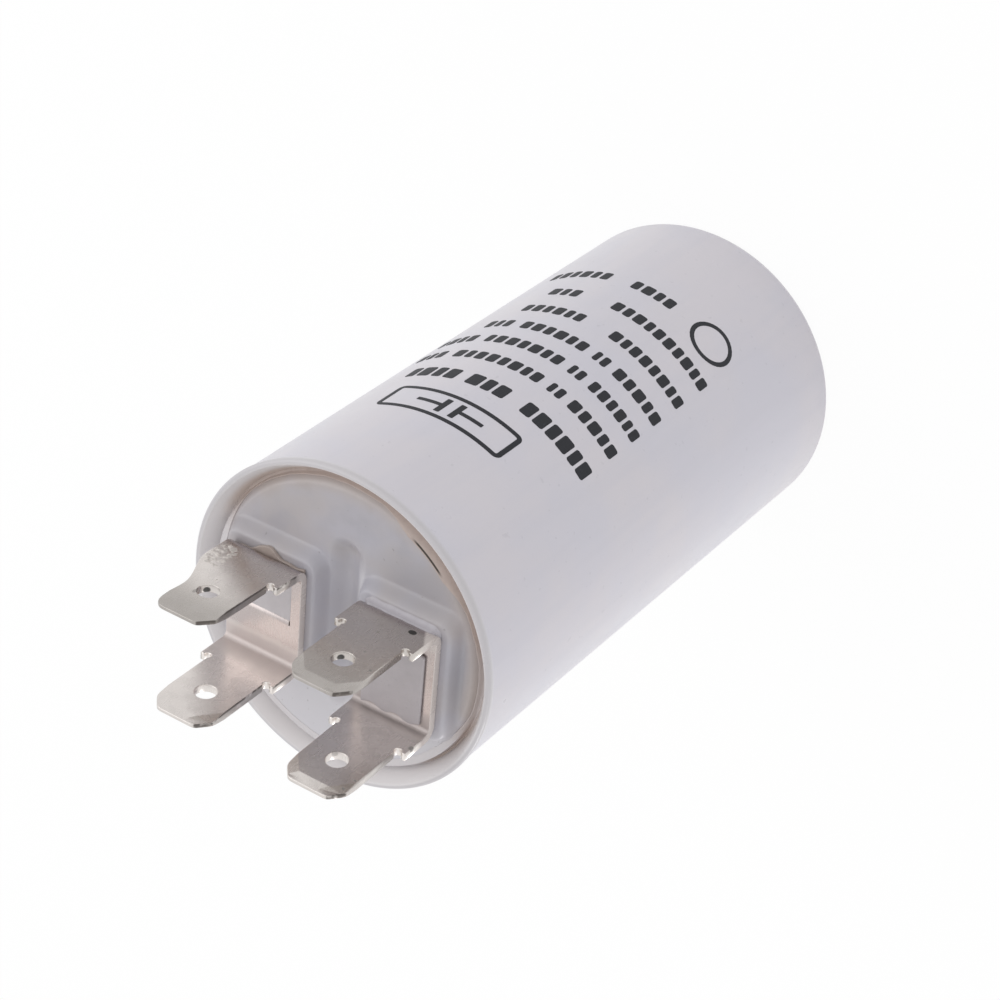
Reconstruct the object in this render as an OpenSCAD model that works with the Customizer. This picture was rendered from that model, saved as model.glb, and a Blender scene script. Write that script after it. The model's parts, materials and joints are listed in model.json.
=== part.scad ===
// Film capacitor for a small single-phase motor, in a round moulded can.
// Two folded sheet terminals on the lid carry two push-on tabs each.
// Sizes are in millimetres. The can stands on its closed end with its axis on Z.
// X runs from one terminal to the other, and Y is normal to the tabs.

/* [Can] */
// Outside diameter of the can
can_d = 32; // [32:0.5:40]
// Height of the can from the closed end to the rim
can_h = 61.8; // [57:0.1:90]
// Wall thickness around the lid, below the flare of the mouth
mouth_wall = 1.45; // [1.2:0.05:1.6]
// Step in the bore that carries the lid
ledge_w = 0.5; // [0.3:0.05:0.8]
// Thickness of the closed end
floor_t = 1.4; // [1:0.1:2]
// Radius of the round lip at the rim
rim_round = 0.3; // [0.2:0.05:0.45]
// Rounding of the closed end's outer edge
foot_round = 1; // [0.6:0.1:2.4]
// Diameter of the moulding gate's dimple in the closed end
gate_d = 5; // [3:0.5:8]
// Depth of the moulding gate's dimple
gate_depth = 0.4; // [0.2:0.1:0.6]

/* [Lid] */
// Depth of the lid's face below the rim
lid_drop = 0.9; // [0.6:0.05:1.2]
// Thickness of the lid's plate
lid_t = 1.6; // [1.4:0.1:2]
// Depth of the skirt below the plate
skirt_h = 2; // [1:0.1:3]
// Thickness of the skirt
skirt_t = 1; // [0.8:0.1:1.4]
// Clearance between the lid and the bore
lid_gap = 0.15; // [0.1:0.05:0.2]
// Width of the bevel around the lid's face
edge_w = 0.8; // [0.5:0.05:0.9]
// Height of the bevel around the lid's face
edge_h = 1; // [0.7:0.05:1.2]
// Height of the sealant between bevel and wall, above the foot of the bevel
seal_h = 0.35; // [0.25:0.05:0.5]
// Depth to which the sealant runs down the clearance
seal_depth = 0.4; // [0.2:0.1:0.6]
// Width of the platform under a terminal, along X
pad_w = 10.2; // [9:0.1:10.4]
// Length of the platform under a terminal, along Y
pad_l = 12.8; // [11.8:0.1:13.2]
// Height of the platforms above the lid's face
pad_h = 1.4; // [1:0.1:2]
// Rounding of the platforms' top edges
pad_round = 0.4; // [0.2:0.05:0.7]
// Rounding of the platforms' corners
pad_corner = 1.4; // [1:0.1:2]
// Width of the groove between the platforms, at the lid's face
groove_w = 3.3; // [2.4:0.1:3.6]
// Depth of the groove below the lid's face
groove_depth = 1; // [0.5:0.05:1]
// Length of the groove between the centres of its round ends
groove_l = 14; // [12:0.5:20]

/* [Terminals] */
// Distance between the two terminals' centres
terminal_pitch = 14.4; // [14:0.1:14.8]
// Offset of both terminals from the can's axis, along Y
terminal_y = -0.4; // [-0.6:0.1:0.6]
// Thickness of the terminal sheet
sheet_t = 0.8; // [0.7:0.05:0.9]
// Distance across the outer faces of a terminal's two blades
blade_span = 11.3; // [10:0.1:11.5]
// Inside radius of the bends between web and blades
bend_r = 0.5; // [0.3:0.1:1]
// Width of the web and of the blades' bases
base_w = 8.2; // [7.6:0.1:8.6]
// Width of a tab
tab_w = 6.3; // [6.1:0.05:6.4]
// Height of the shoulders above the underside of the web
shoulder_h = 4.3; // [3.5:0.1:5]
// Height of the tab tips above the underside of the web
tip_h = 12.7; // [12:0.1:14]
// Height of the detent holes above the underside of the web
hole_h = 8.55; // [7:0.05:9]
// Diameter of the detent holes
hole_d = 2; // [1.6:0.05:2.2]
// Width of the chamfer at each corner of a tip
tip_chamfer_w = 1.1; // [0.5:0.1:1.6]
// Height of the chamfer at each corner of a tip
tip_chamfer_h = 1.3; // [0.5:0.1:2]
// Length of the bevel that thins a tip
bevel_l = 1; // [0.5:0.1:1.5]
// Thickness left at the edge of a tip
bevel_t = 0.4; // [0.3:0.05:0.6]
// Radius of the relief beside each tab, at the shoulder
relief_r = 0.35; // [0.2:0.05:0.45]
// Width of the window that is lanced out of the web
window_w = 6; // [5:0.1:6.2]
// Length of the tang below the web, bent down out of the window
tang_l = 3.6; // [3:0.1:4]

/* [Winding] */
// Diameter of the wound film
winding_d = 26; // [22:0.5:27]
// Length of the wound film
winding_l = 42; // [30:1:43]
// Height of the lower end of the winding above the closed end's inside
winding_lift = 2.6; // [2.3:0.1:3]
// Outside diameter of the winding core
core_d = 6; // [5:0.1:8]
// Wall thickness of the winding core
core_wall = 0.8; // [0.5:0.1:1]
// Thickness of the sprayed metal on each end
spray_t = 0.6; // [0.3:0.1:0.8]
// Thickness of the film wrapped round the winding
wrap_t = 0.2; // [0.1:0.05:0.3]

/* [Leads] */
// Diameter of the bare wire
wire_d = 1; // [0.8:0.1:1.1]
// Diameter over the insulation
sleeve_d = 1.9; // [1.5:0.1:2.1]
// Radius of the wire's bends
wire_bend = 2; // [1.5:0.1:2.4]
// Bare length at each end of a lead
strip_l = 3; // [2.5:0.1:3.5]
// Radius of the solder joints
solder_r = 1.3; // [1.1:0.05:1.35]

/* [Hidden] */
$fn = 72;

// A small overrun that lets a cut pass clean through a face
past = 1;

can_r = can_d / 2;
mouth_r = can_r - mouth_wall;
bore_r = mouth_r - ledge_w;
corner_in = 1;
gate_nub_d = 1.4;
gate_nub_h = gate_depth * 0.6;

lid_face = can_h - lid_drop;
lid_under = lid_face - lid_t;
ledge_z = lid_under - skirt_h;
lid_r = mouth_r - lid_gap;
// Foot of the lid's bevel, where the mouth of the can begins to flare
flare_z = lid_face - edge_h;
lip_r = can_r - rim_round;
lip_z = can_h - rim_round;
skirt_r = lid_r - skirt_t;
pad_top = lid_face + pad_h;
pad_ceiling = pad_top - lid_t;
pad_hollow_w = pad_w - 2 * lid_t;
pad_hollow_l = pad_l - 2 * lid_t;
// Radius of the arc that cuts the groove, from its chord and its depth
groove_r = (groove_w * groove_w / 4 + groove_depth * groove_depth) / (2 * groove_depth);
slot_gap = 0.1;

terminal_x = terminal_pitch / 2;
blade_out = blade_span / 2;
blade_in = blade_out - sheet_t;
// Faces of the tang across its thickness, about the terminal's own centre
tang_front = 0.15;
tang_back = tang_front - sheet_t;
window_l = blade_in - bend_r - tang_front;
window_corner = 0.8;

winding_r = winding_d / 2;
core_r = core_d / 2;
spray_low = floor_t + winding_lift;
winding_low = spray_low + spray_t;
winding_high = winding_low + winding_l;
spray_high = winding_high + spray_t;

wire_r = wire_d / 2;
sleeve_r = sleeve_d / 2;
// Film of solder under a wire
solder_film = 0.05;
wire_end = pad_ceiling - 0.2;
wire_y = tang_front + wire_r + solder_film;
solder_z = pad_ceiling - solder_r - 0.1;
// The right lead swings round the axis to reach its tang, which faces the other way
lead_reach = norm([terminal_x, terminal_y - wire_y]);
lead_turn = atan2(terminal_y - wire_y, terminal_x);
lead_cross = (spray_high + solder_z) / 2;
lead_foot = spray_low - wire_r - solder_film;
lead_foot_l = 6;

// Resin that has crept out from under the upper left bend, over its platform
creep_t = 0.35;
creep_half = 3.9;
creep_out = blade_out - 0.45;
creep_slope = 0.05;
creep_bulge = 1.05;
creep_at = -0.2;
creep_spread = 1.3;
creep_wave = 0.07;
creep_pitch = 1.7;

// Resin that has risen through the left tang's slot and fills the window
fill_t = 0.65;

// Resin that has spread over the right web
spread_t = 0.3;
spread_half = 3.15;
spread_low = blade_in - bend_r;
spread_high = 2.9;
spread_wave = 0.18;
spread_pitch = 2.6;
wave_steps = 24;

can_tint = [0.87, 0.86, 0.91];
lid_tint = [0.80, 0.79, 0.83];
bead_tint = [0.62, 0.54, 0.44];
metal_tint = [0.70, 0.67, 0.63];
resin_tint = [0.83, 0.81, 0.80];
potting_tint = [0.74, 0.68, 0.56];
film_tint = [0.75, 0.78, 0.80];
wrap_tint = [0.93, 0.88, 0.55];
core_tint = [0.30, 0.45, 0.70];
spray_tint = [0.55, 0.55, 0.57];
copper_tint = [0.80, 0.50, 0.30];
sleeve_tint = [0.75, 0.20, 0.18];
solder_tint = [0.78, 0.78, 0.80];

// Extrudes a section drawn in Y and Z along X, about the middle
module along_x(length) {
    rotate([90, 0, 90])
        linear_extrude(length, center = true)
            children();
}

// Extrudes an outline drawn in X and Z along Y, about the middle
module along_y(length) {
    rotate([90, 0, 0])
        linear_extrude(length, center = true)
            children();
}

// The waste outside a quarter round of radius r, with its corner at the origin
module corner_waste(r) {
    difference() {
        square(r);
        translate([r, r])
            circle(r);
    }
}

// A rectangle about the origin with four round corners
module round_rect(w, l, r) {
    square([w - 2 * r, l], center = true);
    square([w, l - 2 * r], center = true);
    for (sx = [-1, 1], sy = [-1, 1])
        translate([sx * (w / 2 - r), sy * (l / 2 - r)])
            circle(r);
}

// A rectangle that stands on the X axis with its two lower corners round
module round_foot(w, h, r) {
    translate([-w / 2, r])
        square([w, h - r]);
    translate([r - w / 2, 0])
        square([w - 2 * r, h]);
    for (s = [-1, 1])
        translate([s * (w / 2 - r), r])
            circle(r);
}

// A rectangle that stands on the X axis with its two upper corners round
module round_top(w, h, r) {
    translate([0, h])
        mirror([0, 1])
            round_foot(w, h, r);
}

// Half section of the space inside the can, up to the lid
module cavity_section() {
    difference() {
        translate([0, floor_t])
            square([bore_r, ledge_z - floor_t]);
        translate([bore_r, floor_t])
            mirror([1, 0])
                corner_waste(corner_in);
    }
}

// Half section of the space in the can's mouth, above the ledge, that flares up to the round lip
module mouth_section() {
    difference() {
        polygon([
            [0, ledge_z],
            [mouth_r, ledge_z],
            [mouth_r, flare_z],
            [lip_r - rim_round / 2, lip_z],
            [lip_r, lip_z],
            [lip_r, can_h + past],
            [0, can_h + past]
        ]);
        translate([lip_r, lip_z])
            circle(rim_round);
    }
}

// Half section of the can
module can_section() {
    difference() {
        square([can_r, can_h]);
        translate([can_r, 0])
            mirror([1, 0])
                corner_waste(foot_round);
        translate([can_r, can_h])
            rotate(180)
                corner_waste(rim_round);
        cavity_section();
        mouth_section();
    }
}

module can() {
    color(can_tint)
        difference() {
            rotate_extrude()
                can_section();
            difference() {
                translate([0, 0, -past])
                    cylinder(d = gate_d, h = gate_depth + past);
                translate([0, 0, gate_depth - gate_nub_h])
                    cylinder(d = gate_nub_d, h = past);
            }
        }
}

// Half section of the lid's plate and skirt, with a bevel around its face
module lid_section() {
    difference() {
        polygon([
            [0, ledge_z],
            [lid_r, ledge_z],
            [lid_r, flare_z],
            [lid_r - edge_w, lid_face],
            [0, lid_face]
        ]);
        translate([0, ledge_z - past])
            square([skirt_r, skirt_h + past]);
    }
}

// One raised platform, from the underside of the plate to the web
module pad() {
    h = lid_t + pad_h;
    intersection() {
        linear_extrude(h)
            round_rect(pad_w, pad_l, pad_corner);
        along_x(pad_w)
            round_top(pad_l, h, pad_round);
        along_y(pad_l)
            round_top(pad_w, h, pad_round);
    }
}

// The hollow under one platform
module pad_hollow(below) {
    translate([0, 0, lid_under - below])
        linear_extrude(pad_ceiling - lid_under + below)
            round_rect(pad_hollow_w, pad_hollow_l, pad_corner / 2);
}

// The groove that lengthens the path over the surface from terminal to terminal
module creepage_groove() {
    translate([0, 0, lid_face + groove_r - groove_depth]) {
        rotate([90, 0, 0])
            cylinder(r = groove_r, h = groove_l, center = true);
        for (s = [-1, 1])
            translate([0, s * groove_l / 2, 0])
                sphere(groove_r);
    }
}

// The slot through a platform for a tang
module tang_slot() {
    w = window_w + 2 * slot_gap;
    translate([-w / 2, tang_back - slot_gap, pad_ceiling - past])
        cube([w, sheet_t + 2 * slot_gap, lid_t + 2 * past]);
}

// Places a child at the left terminal (side -1) or, turned half round, at the right one (side 1)
module at_terminal(side) {
    translate([side * terminal_x, terminal_y, 0])
        rotate(side > 0 ? 180 : 0)
            children();
}

// Places a child at both terminals
module at_terminals() {
    for (side = [-1, 1])
        at_terminal(side)
            children();
}

module lid() {
    color(lid_tint)
        difference() {
            union() {
                rotate_extrude()
                    lid_section();
                at_terminals()
                    translate([0, 0, lid_under])
                        pad();
            }
            creepage_groove();
            at_terminals() {
                pad_hollow(past);
                tang_slot();
            }
        }
}

// Bead of sealant between the lid's bevel and the wall, with a hollow top
module seal_bead() {
    inner = lid_r - edge_w;
    middle = lid_r + lid_gap / 2;
    sag = 0.12;
    hollow_r = edge_w;
    color(bead_tint)
        rotate_extrude()
            difference() {
                intersection() {
                    mouth_section();
                    translate([inner, flare_z - seal_depth])
                        square([can_r - inner, seal_depth + seal_h]);
                }
                lid_section();
                translate([middle, flare_z + seal_h + hollow_r - sag])
                    circle(hollow_r);
            }
}

// Outline of a blade from the front, with the web's width at its foot
module blade_outline() {
    half = tab_w / 2;
    difference() {
        union() {
            translate([-base_w / 2, 0])
                square([base_w, shoulder_h]);
            polygon([
                [-half, 0],
                [half, 0],
                [half, tip_h - tip_chamfer_h],
                [half - tip_chamfer_w, tip_h],
                [tip_chamfer_w - half, tip_h],
                [-half, tip_h - tip_chamfer_h]
            ]);
        }
        for (s = [-1, 1])
            translate([s * (half + relief_r / 2), shoulder_h])
                circle(relief_r);
    }
}

// Section of the folded sheet: the web with a blade up from each end
module folded_section() {
    thinning = (sheet_t - bevel_t) / 2;
    difference() {
        round_foot(blade_span, tip_h, bend_r + sheet_t);
        translate([0, sheet_t])
            round_foot(blade_span - 2 * sheet_t, tip_h, bend_r);
        for (face = [-blade_out, -blade_in, blade_in, blade_out])
            polygon([
                [face, tip_h - bevel_l],
                [face - thinning, tip_h],
                [face, tip_h + past],
                [face + thinning, tip_h]
            ]);
    }
}

// Section of the tang, bent down from the middle of the web
module tang_section() {
    difference() {
        translate([tang_back, -tang_l])
            square([sheet_t, tang_l + sheet_t]);
        translate([tang_front, sheet_t])
            rotate(180)
                corner_waste(sheet_t);
    }
}

// Window lanced out of the web, with round corners next to the bend
module window_outline() {
    translate([0, tang_front + window_l / 2])
        round_rect(window_w, window_l, window_corner);
    translate([-window_w / 2, tang_front])
        square([window_w, window_l / 2]);
}

// One terminal with the underside of its web at z = 0
module terminal() {
    difference() {
        intersection() {
            along_x(base_w)
                folded_section();
            along_y(blade_span + past)
                blade_outline();
        }
        translate([0, 0, -past])
            linear_extrude(sheet_t + 2 * past)
                window_outline();
        translate([-window_w / 2, tang_back, -past])
            cube([window_w, sheet_t + past / 10, sheet_t + 2 * past]);
        translate([0, 0, hole_h])
            rotate([90, 0, 0])
                cylinder(d = hole_d, h = blade_span + 2 * past, center = true);
    }
    along_x(window_w)
        tang_section();
}

module terminal_left() {
    color(metal_tint)
        at_terminal(-1)
            translate([0, 0, pad_top])
                terminal();
}

module terminal_right() {
    color(metal_tint)
        at_terminal(1)
            translate([0, 0, pad_top])
                terminal();
}

// How far the crept resin reaches along Y, at a place across the blade
function creep_edge(x) =
    creep_out + creep_slope * x
    + creep_bulge * exp(-pow((x - creep_at) / creep_spread, 2))
    + creep_wave * sin(360 * x / creep_pitch);

module resin_smear_left() {
    xs = [for (i = [0 : wave_steps]) creep_half * (2 * i / wave_steps - 1)];
    edge = [for (x = xs) [x, creep_edge(x)]];
    color(resin_tint)
        difference() {
            translate([-terminal_x, terminal_y, pad_top - pad_round])
                linear_extrude(creep_t + pad_round)
                    polygon(concat([[-creep_half, blade_in]], edge, [[creep_half, blade_in]]));
            lid();
            terminal_left();
        }
}

// Lower and upper edges of the resin on the right web, across the web
function spread_edge_low(x) = -spread_low + spread_wave * sin(360 * x / spread_pitch);
function spread_edge_high(x) = spread_high + spread_wave * cos(360 * x / spread_pitch);

// The window together with the place of the tang's bend
module window_and_bend() {
    window_outline();
    translate([-window_w / 2, tang_back])
        square([window_w, window_l / 2]);
}

module resin_fill_left() {
    color(resin_tint)
        difference() {
            translate([-terminal_x, terminal_y, pad_top])
                linear_extrude(fill_t)
                    window_and_bend();
            terminal_left();
        }
}

module resin_smear_right() {
    xs = [for (i = [0 : wave_steps]) spread_half * (2 * i / wave_steps - 1)];
    low = [for (x = xs) [x, spread_edge_low(x)]];
    high = [for (i = [wave_steps : -1 : 0]) [xs[i], spread_edge_high(xs[i])]];
    color(resin_tint)
        difference() {
            translate([terminal_x, terminal_y, pad_top]) {
                translate([0, 0, sheet_t])
                    linear_extrude(spread_t)
                        polygon(concat(low, high));
                rotate(180)
                    linear_extrude(sheet_t)
                        window_and_bend();
            }
            terminal_right();
        }
}

// A ring or disc round the axis between two heights
module ring(outer, inner, low, high) {
    difference() {
        translate([0, 0, low])
            cylinder(r = outer, h = high - low);
        translate([0, 0, low - past])
            cylinder(r = inner, h = high - low + 2 * past);
    }
}

module film_winding() {
    color(film_tint)
        ring(winding_r - wrap_t, core_r, winding_low, winding_high);
}

module outer_wrap() {
    color(wrap_tint)
        ring(winding_r, winding_r - wrap_t, spray_low, spray_high);
}

module winding_core() {
    color(core_tint)
        ring(core_r, core_r - core_wall, spray_low, spray_high);
}

module end_spray_upper() {
    color(spray_tint)
        ring(winding_r - wrap_t, core_r, winding_high, spray_high);
}

module end_spray_lower() {
    color(spray_tint)
        ring(winding_r - wrap_t, core_r, spray_low, winding_low);
}

// A quarter bend of round wire, from straight up to straight out along X
module wire_elbow(r) {
    translate([wire_bend, 0, 0])
        rotate([90, 0, 0])
            rotate(90)
                rotate_extrude(angle = 90)
                    translate([wire_bend, 0])
                        circle(r);
}

// A straight run of round wire up the Z axis between two heights
module riser(r, low, high) {
    translate([0, 0, low])
        cylinder(r = r, h = high - low);
}

// The left lead's place, straight up from the upper end to its tang
module left_run(r, low, high) {
    translate([-terminal_x, terminal_y + wire_y, 0])
        riser(r, low, high);
}

module left_wire() {
    left_run(wire_r, spray_high, wire_end);
}

module left_cover() {
    left_run(sleeve_r, spray_high + strip_l, wire_end - strip_l);
}

module lead_left() {
    color(copper_tint)
        left_wire();
}

module sleeve_left() {
    color(sleeve_tint)
        difference() {
            left_cover();
            left_wire();
        }
}

// The insulated stretch of the right lead, up the core and out under the lid
module right_run(r) {
    rotate(lead_turn) {
        riser(r, lead_foot + wire_bend, lead_cross - wire_bend);
        translate([0, 0, lead_cross - wire_bend])
            wire_elbow(r);
        translate([wire_bend, 0, lead_cross])
            rotate([0, 90, 0])
                cylinder(r = r, h = lead_reach - 2 * wire_bend);
    }
}

// The whole right wire, with its foot under the lower end and its end on the tang
module right_wire() {
    right_run(wire_r);
    rotate(lead_turn) {
        translate([wire_bend, 0, lead_foot])
            rotate([0, 90, 0])
                cylinder(r = wire_r, h = lead_foot_l - wire_bend);
        translate([0, 0, lead_foot + wire_bend])
            mirror([0, 0, 1])
                wire_elbow(wire_r);
        translate([lead_reach, 0, lead_cross + wire_bend])
            rotate(180)
                mirror([0, 0, 1])
                    wire_elbow(wire_r);
        translate([lead_reach, 0, 0])
            riser(wire_r, lead_cross + wire_bend, wire_end);
    }
}

module lead_right() {
    color(copper_tint)
        right_wire();
}

module sleeve_right() {
    color(sleeve_tint)
        difference() {
            right_run(sleeve_r);
            right_wire();
        }
}

// A dome of solder with its flat side down
module solder_dome() {
    intersection() {
        sphere(solder_r);
        cylinder(r = 2 * solder_r, h = 2 * solder_r);
    }
}

// The four domes: one on each tang and one on each end of the winding
module solder_domes() {
    at_terminals()
        translate([0, tang_front, solder_z])
            rotate([-90, 0, 0])
                solder_dome();
    translate([-terminal_x, terminal_y + wire_y, spray_high])
        solder_dome();
    rotate(lead_turn)
        translate([lead_foot_l - solder_r, 0, spray_low])
            rotate([180, 0, 0])
                solder_dome();
}

module solder_joints() {
    color(solder_tint)
        difference() {
            solder_domes();
            left_wire();
            right_wire();
        }
}

// Resin that fills the can round the winding and up under the lid
module potting_resin() {
    color(potting_tint)
        difference() {
            union() {
                rotate_extrude() {
                    cavity_section();
                    translate([0, floor_t + corner_in])
                        square([skirt_r, lid_under - floor_t - corner_in]);
                }
                at_terminals()
                    pad_hollow(past);
            }
            ring(winding_r, core_r - core_wall, spray_low, spray_high);
            left_cover();
            left_wire();
            right_run(sleeve_r);
            right_wire();
            solder_domes();
            at_terminals()
                translate([0, 0, pad_top])
                    along_x(window_w)
                        tang_section();
        }
}

can();
lid();
seal_bead();
terminal_left();
terminal_right();
resin_smear_left();
resin_fill_left();
resin_smear_right();
potting_resin();
film_winding();
winding_core();
outer_wrap();
end_spray_upper();
end_spray_lower();
lead_left();
lead_right();
sleeve_left();
sleeve_right();
solder_joints();
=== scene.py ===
"""Finishes, sheet terminals, wall print and studio stage of a round film capacitor."""

import json
import math

import bmesh
import bpy
from bpy.props import FloatProperty, FloatVectorProperty, IntProperty, PointerProperty
from bpy.types import Operator, Panel, PropertyGroup
from mathutils import Matrix, Vector, noise


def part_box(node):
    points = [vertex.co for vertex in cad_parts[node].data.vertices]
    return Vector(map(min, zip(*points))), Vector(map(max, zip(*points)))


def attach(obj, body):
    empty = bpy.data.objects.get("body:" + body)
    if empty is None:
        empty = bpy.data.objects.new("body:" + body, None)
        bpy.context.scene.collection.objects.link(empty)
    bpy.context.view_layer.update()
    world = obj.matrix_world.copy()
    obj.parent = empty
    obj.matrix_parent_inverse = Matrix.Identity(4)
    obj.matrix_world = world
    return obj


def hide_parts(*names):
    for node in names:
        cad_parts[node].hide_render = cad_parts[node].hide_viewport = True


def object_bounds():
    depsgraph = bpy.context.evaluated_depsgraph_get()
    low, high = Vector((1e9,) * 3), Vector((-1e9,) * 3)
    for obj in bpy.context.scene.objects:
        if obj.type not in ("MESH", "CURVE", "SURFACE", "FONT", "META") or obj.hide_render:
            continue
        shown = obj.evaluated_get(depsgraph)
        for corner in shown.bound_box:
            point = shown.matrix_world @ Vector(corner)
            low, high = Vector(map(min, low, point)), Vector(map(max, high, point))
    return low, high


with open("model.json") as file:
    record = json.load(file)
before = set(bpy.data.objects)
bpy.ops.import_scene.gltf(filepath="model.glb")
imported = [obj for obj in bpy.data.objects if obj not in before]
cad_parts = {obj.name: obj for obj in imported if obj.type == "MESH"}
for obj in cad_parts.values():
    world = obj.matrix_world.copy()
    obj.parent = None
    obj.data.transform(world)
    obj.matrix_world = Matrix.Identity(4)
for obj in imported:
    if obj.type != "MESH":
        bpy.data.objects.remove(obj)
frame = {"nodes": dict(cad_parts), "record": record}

bl_info = {
    "name": "Film capacitor looks",
    "version": (1, 0, 0),
    "blender": (4, 5, 0),
    "location": "3D View > Sidebar > Capacitor",
    "description": "Finishes, terminals, print and studio stage of a round film capacitor",
    "category": "Object",
}

MM = 0.001
BODY = "root"
CAD_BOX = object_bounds()

# Places in the frame, in millimetres
CAN_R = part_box("can")[1].x / MM
RIM_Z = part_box("can")[1].z / MM
WEB_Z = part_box("lid")[1].z / MM
LID_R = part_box("lid")[1].x / MM
SEAL_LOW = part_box("seal_bead")[0].z / MM
TIP_Z = CAD_BOX[1].z / MM
LEFT_LOW, LEFT_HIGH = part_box("terminal_left")
HALF_BASE = (LEFT_HIGH.x - LEFT_LOW.x) / MM / 2
PITCH = (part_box("terminal_right")[0].x - LEFT_LOW.x) / MM
# Direction across the lid in which the sealant sinks, and where along it the bevel comes clear
SINK_WAY = (0.42, 0.9)
SINK_SPAN = (-3.0, 3.5)


def srgb(red, green, blue):
    """A colour given as it looks on a screen, from 0 to 255, as the linear values that shaders take."""
    def linear(level):
        share = level / 255
        return share / 12.92 if share <= 0.04045 else ((share + 0.055) / 1.055) ** 2.4
    return linear(red), linear(green), linear(blue)


def scaled(colour, factor):
    """A colour made lighter or darker."""
    return tuple(min(1.0, part * factor) for part in colour)


# Settings that a user would change


def colour_setting(name, description, default):
    """A colour that a user would change."""
    return FloatVectorProperty(
        name=name, description=description, subtype="COLOR", size=3, min=0, max=1, default=default)


def length_setting(name, description, millimetres):
    """A length, given in millimetres and kept in metres."""
    return FloatProperty(
        name=name, description=description, unit="LENGTH", precision=5, default=millimetres * MM)


def share_setting(name, description, default):
    """A share from 0 to 1."""
    return FloatProperty(
        name=name, description=description, subtype="FACTOR", min=0, max=1, default=default)


def angle_setting(name, description, degrees):
    """An angle, given in degrees and kept in radians."""
    return FloatProperty(
        name=name, description=description, unit="ROTATION", default=math.radians(degrees))


class CanLook(PropertyGroup):
    """Finish of the moulded can."""

    plastic: colour_setting("Plastic", "Colour of the can", srgb(202, 200, 209))
    warm: colour_setting("Warm cloud", "Colour of the faint warm clouds", srgb(206, 202, 208))
    # Painted light: the mouth is lighter than the wall's plastic, to lift the shade inside the flare
    mouth: colour_setting("Mouth", "Colour of the flared mouth inside the lip", srgb(229, 226, 227))
    roughness: share_setting("Roughness", "Roughness of the moulded skin", 0.3)
    grain: length_setting("Grain", "Size of the moulding grain", 0.22)
    grain_depth: length_setting("Grain depth", "Depth of the moulding grain", 0.006)
    collar: colour_setting("Collar", "Colour of the swollen rim", srgb(190, 187, 189))
    stain: colour_setting("Stain", "Colour of the mouth beside the seal", srgb(214, 201, 193))
    foot: length_setting("Foot", "Rounding of the closed end's edge", 1.0)
    inner_foot: length_setting("Inner foot", "Rounding of the floor's edge inside", 1.0)
    gate: length_setting("Gate", "Radius of the dimple in the closed end", 2.5)
    gate_depth: length_setting("Gate depth", "Depth of that dimple", 0.4)
    nub: length_setting("Nub", "Radius of the nub in the dimple", 0.7)
    nub_h: length_setting("Nub height", "Height of that nub", 0.24)
    floor: length_setting("Floor", "Thickness of the closed end", 1.4)
    wall: length_setting("Wall", "Thickness of the wall below the ledge", 1.95)
    mouth_wall: length_setting("Mouth wall", "Thickness of the wall round the lid", 1.45)
    ledge: length_setting("Ledge", "Height of the ledge below the top", 4.5)
    flare_from: length_setting("Flare from", "Height of the flare's foot below the top", 1.9)
    flare: FloatProperty(name="Flare", description="How much the mouth opens for its height", default=0.576)
    lip: length_setting("Lip", "Radius of the round lip", 0.32)
    swell: length_setting("Swell", "Height over which the wall swells to the rim", 0.8)


class LidLook(PropertyGroup):
    """Finish of the moulded lid."""

    plastic: colour_setting("Plastic", "Colour of the lid", srgb(174, 172, 180))
    warm: colour_setting("Warm cloud", "Colour of the warmer clouds on the lid", srgb(175, 170, 172))
    stain: colour_setting("Stain", "Colour of the stain beside the seal", srgb(176, 162, 152))
    # Painted highlight: a lighter streak along the groove's right shoulder
    highlit: colour_setting("Worn edge", "Colour of the worn edge of the groove", srgb(210, 208, 212))
    # Painted light: the lid is made paler towards its lower end
    pale: colour_setting("Pale", "Colour of the paler lower end of the lid", srgb(204, 202, 207))
    stain_from: length_setting("Stain from", "Radius at which the stain begins", 12.4)
    roughness: share_setting("Roughness", "Roughness of the lid", 0.35)
    platform: length_setting("Platform", "Height of the platforms above the lid's face", 1.4)
    platform_w: length_setting("Platform width", "Width of a platform across the terminals", 10.2)
    platform_l: length_setting("Platform length", "Length of a platform along the groove", 12.8)
    platform_corner: length_setting("Platform corner", "Rounding of a platform's outline", 1.4)
    soft_top: length_setting("Soft top", "Width of the rounding inside a platform's outline", 0.4)
    soft_foot: length_setting("Soft foot", "Width of the fillet outside a platform's outline", 0.7)
    soft_side: length_setting("Soft side", "Width of that fillet along the groove", 0.45)
    groove_w: length_setting("Groove width", "Width of the groove between the platforms", 3.3)
    groove_depth: length_setting("Groove depth", "Depth of the groove below the lid's face", 1.0)
    groove_l: length_setting("Groove length", "Length between the centres of the groove's ends", 14.0)
    under: length_setting("Under", "Height of the lid's underside below its face", 1.6)
    skirt: length_setting("Skirt", "Depth of the skirt below the lid's underside", 2.0)
    skirt_t: length_setting("Skirt thickness", "Thickness of the skirt", 1.0)
    slot_gap: length_setting("Slot gap", "Clearance round a tang in its slot", 0.1)
    bevel_w: length_setting("Bevel width", "Width of the bevel round the lid's face", 0.8)
    bevel_h: length_setting("Bevel height", "Height of the bevel round the lid's face", 1.0)


class PrintLook(PropertyGroup):
    """Ink rows on the wall of the can."""

    ink: colour_setting("Ink", "Colour of the printed ink", srgb(30, 31, 36))
    film: length_setting("Ink film", "Thickness of the ink on the wall", 0.015)
    start: angle_setting("Start", "Angle round the axis at which the rows begin", 43)
    corner: length_setting("Corner", "Rounding of the printed blocks", 0.28)
    gap: length_setting("Gap", "Gap between the blocks of a row", 0.3)


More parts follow.
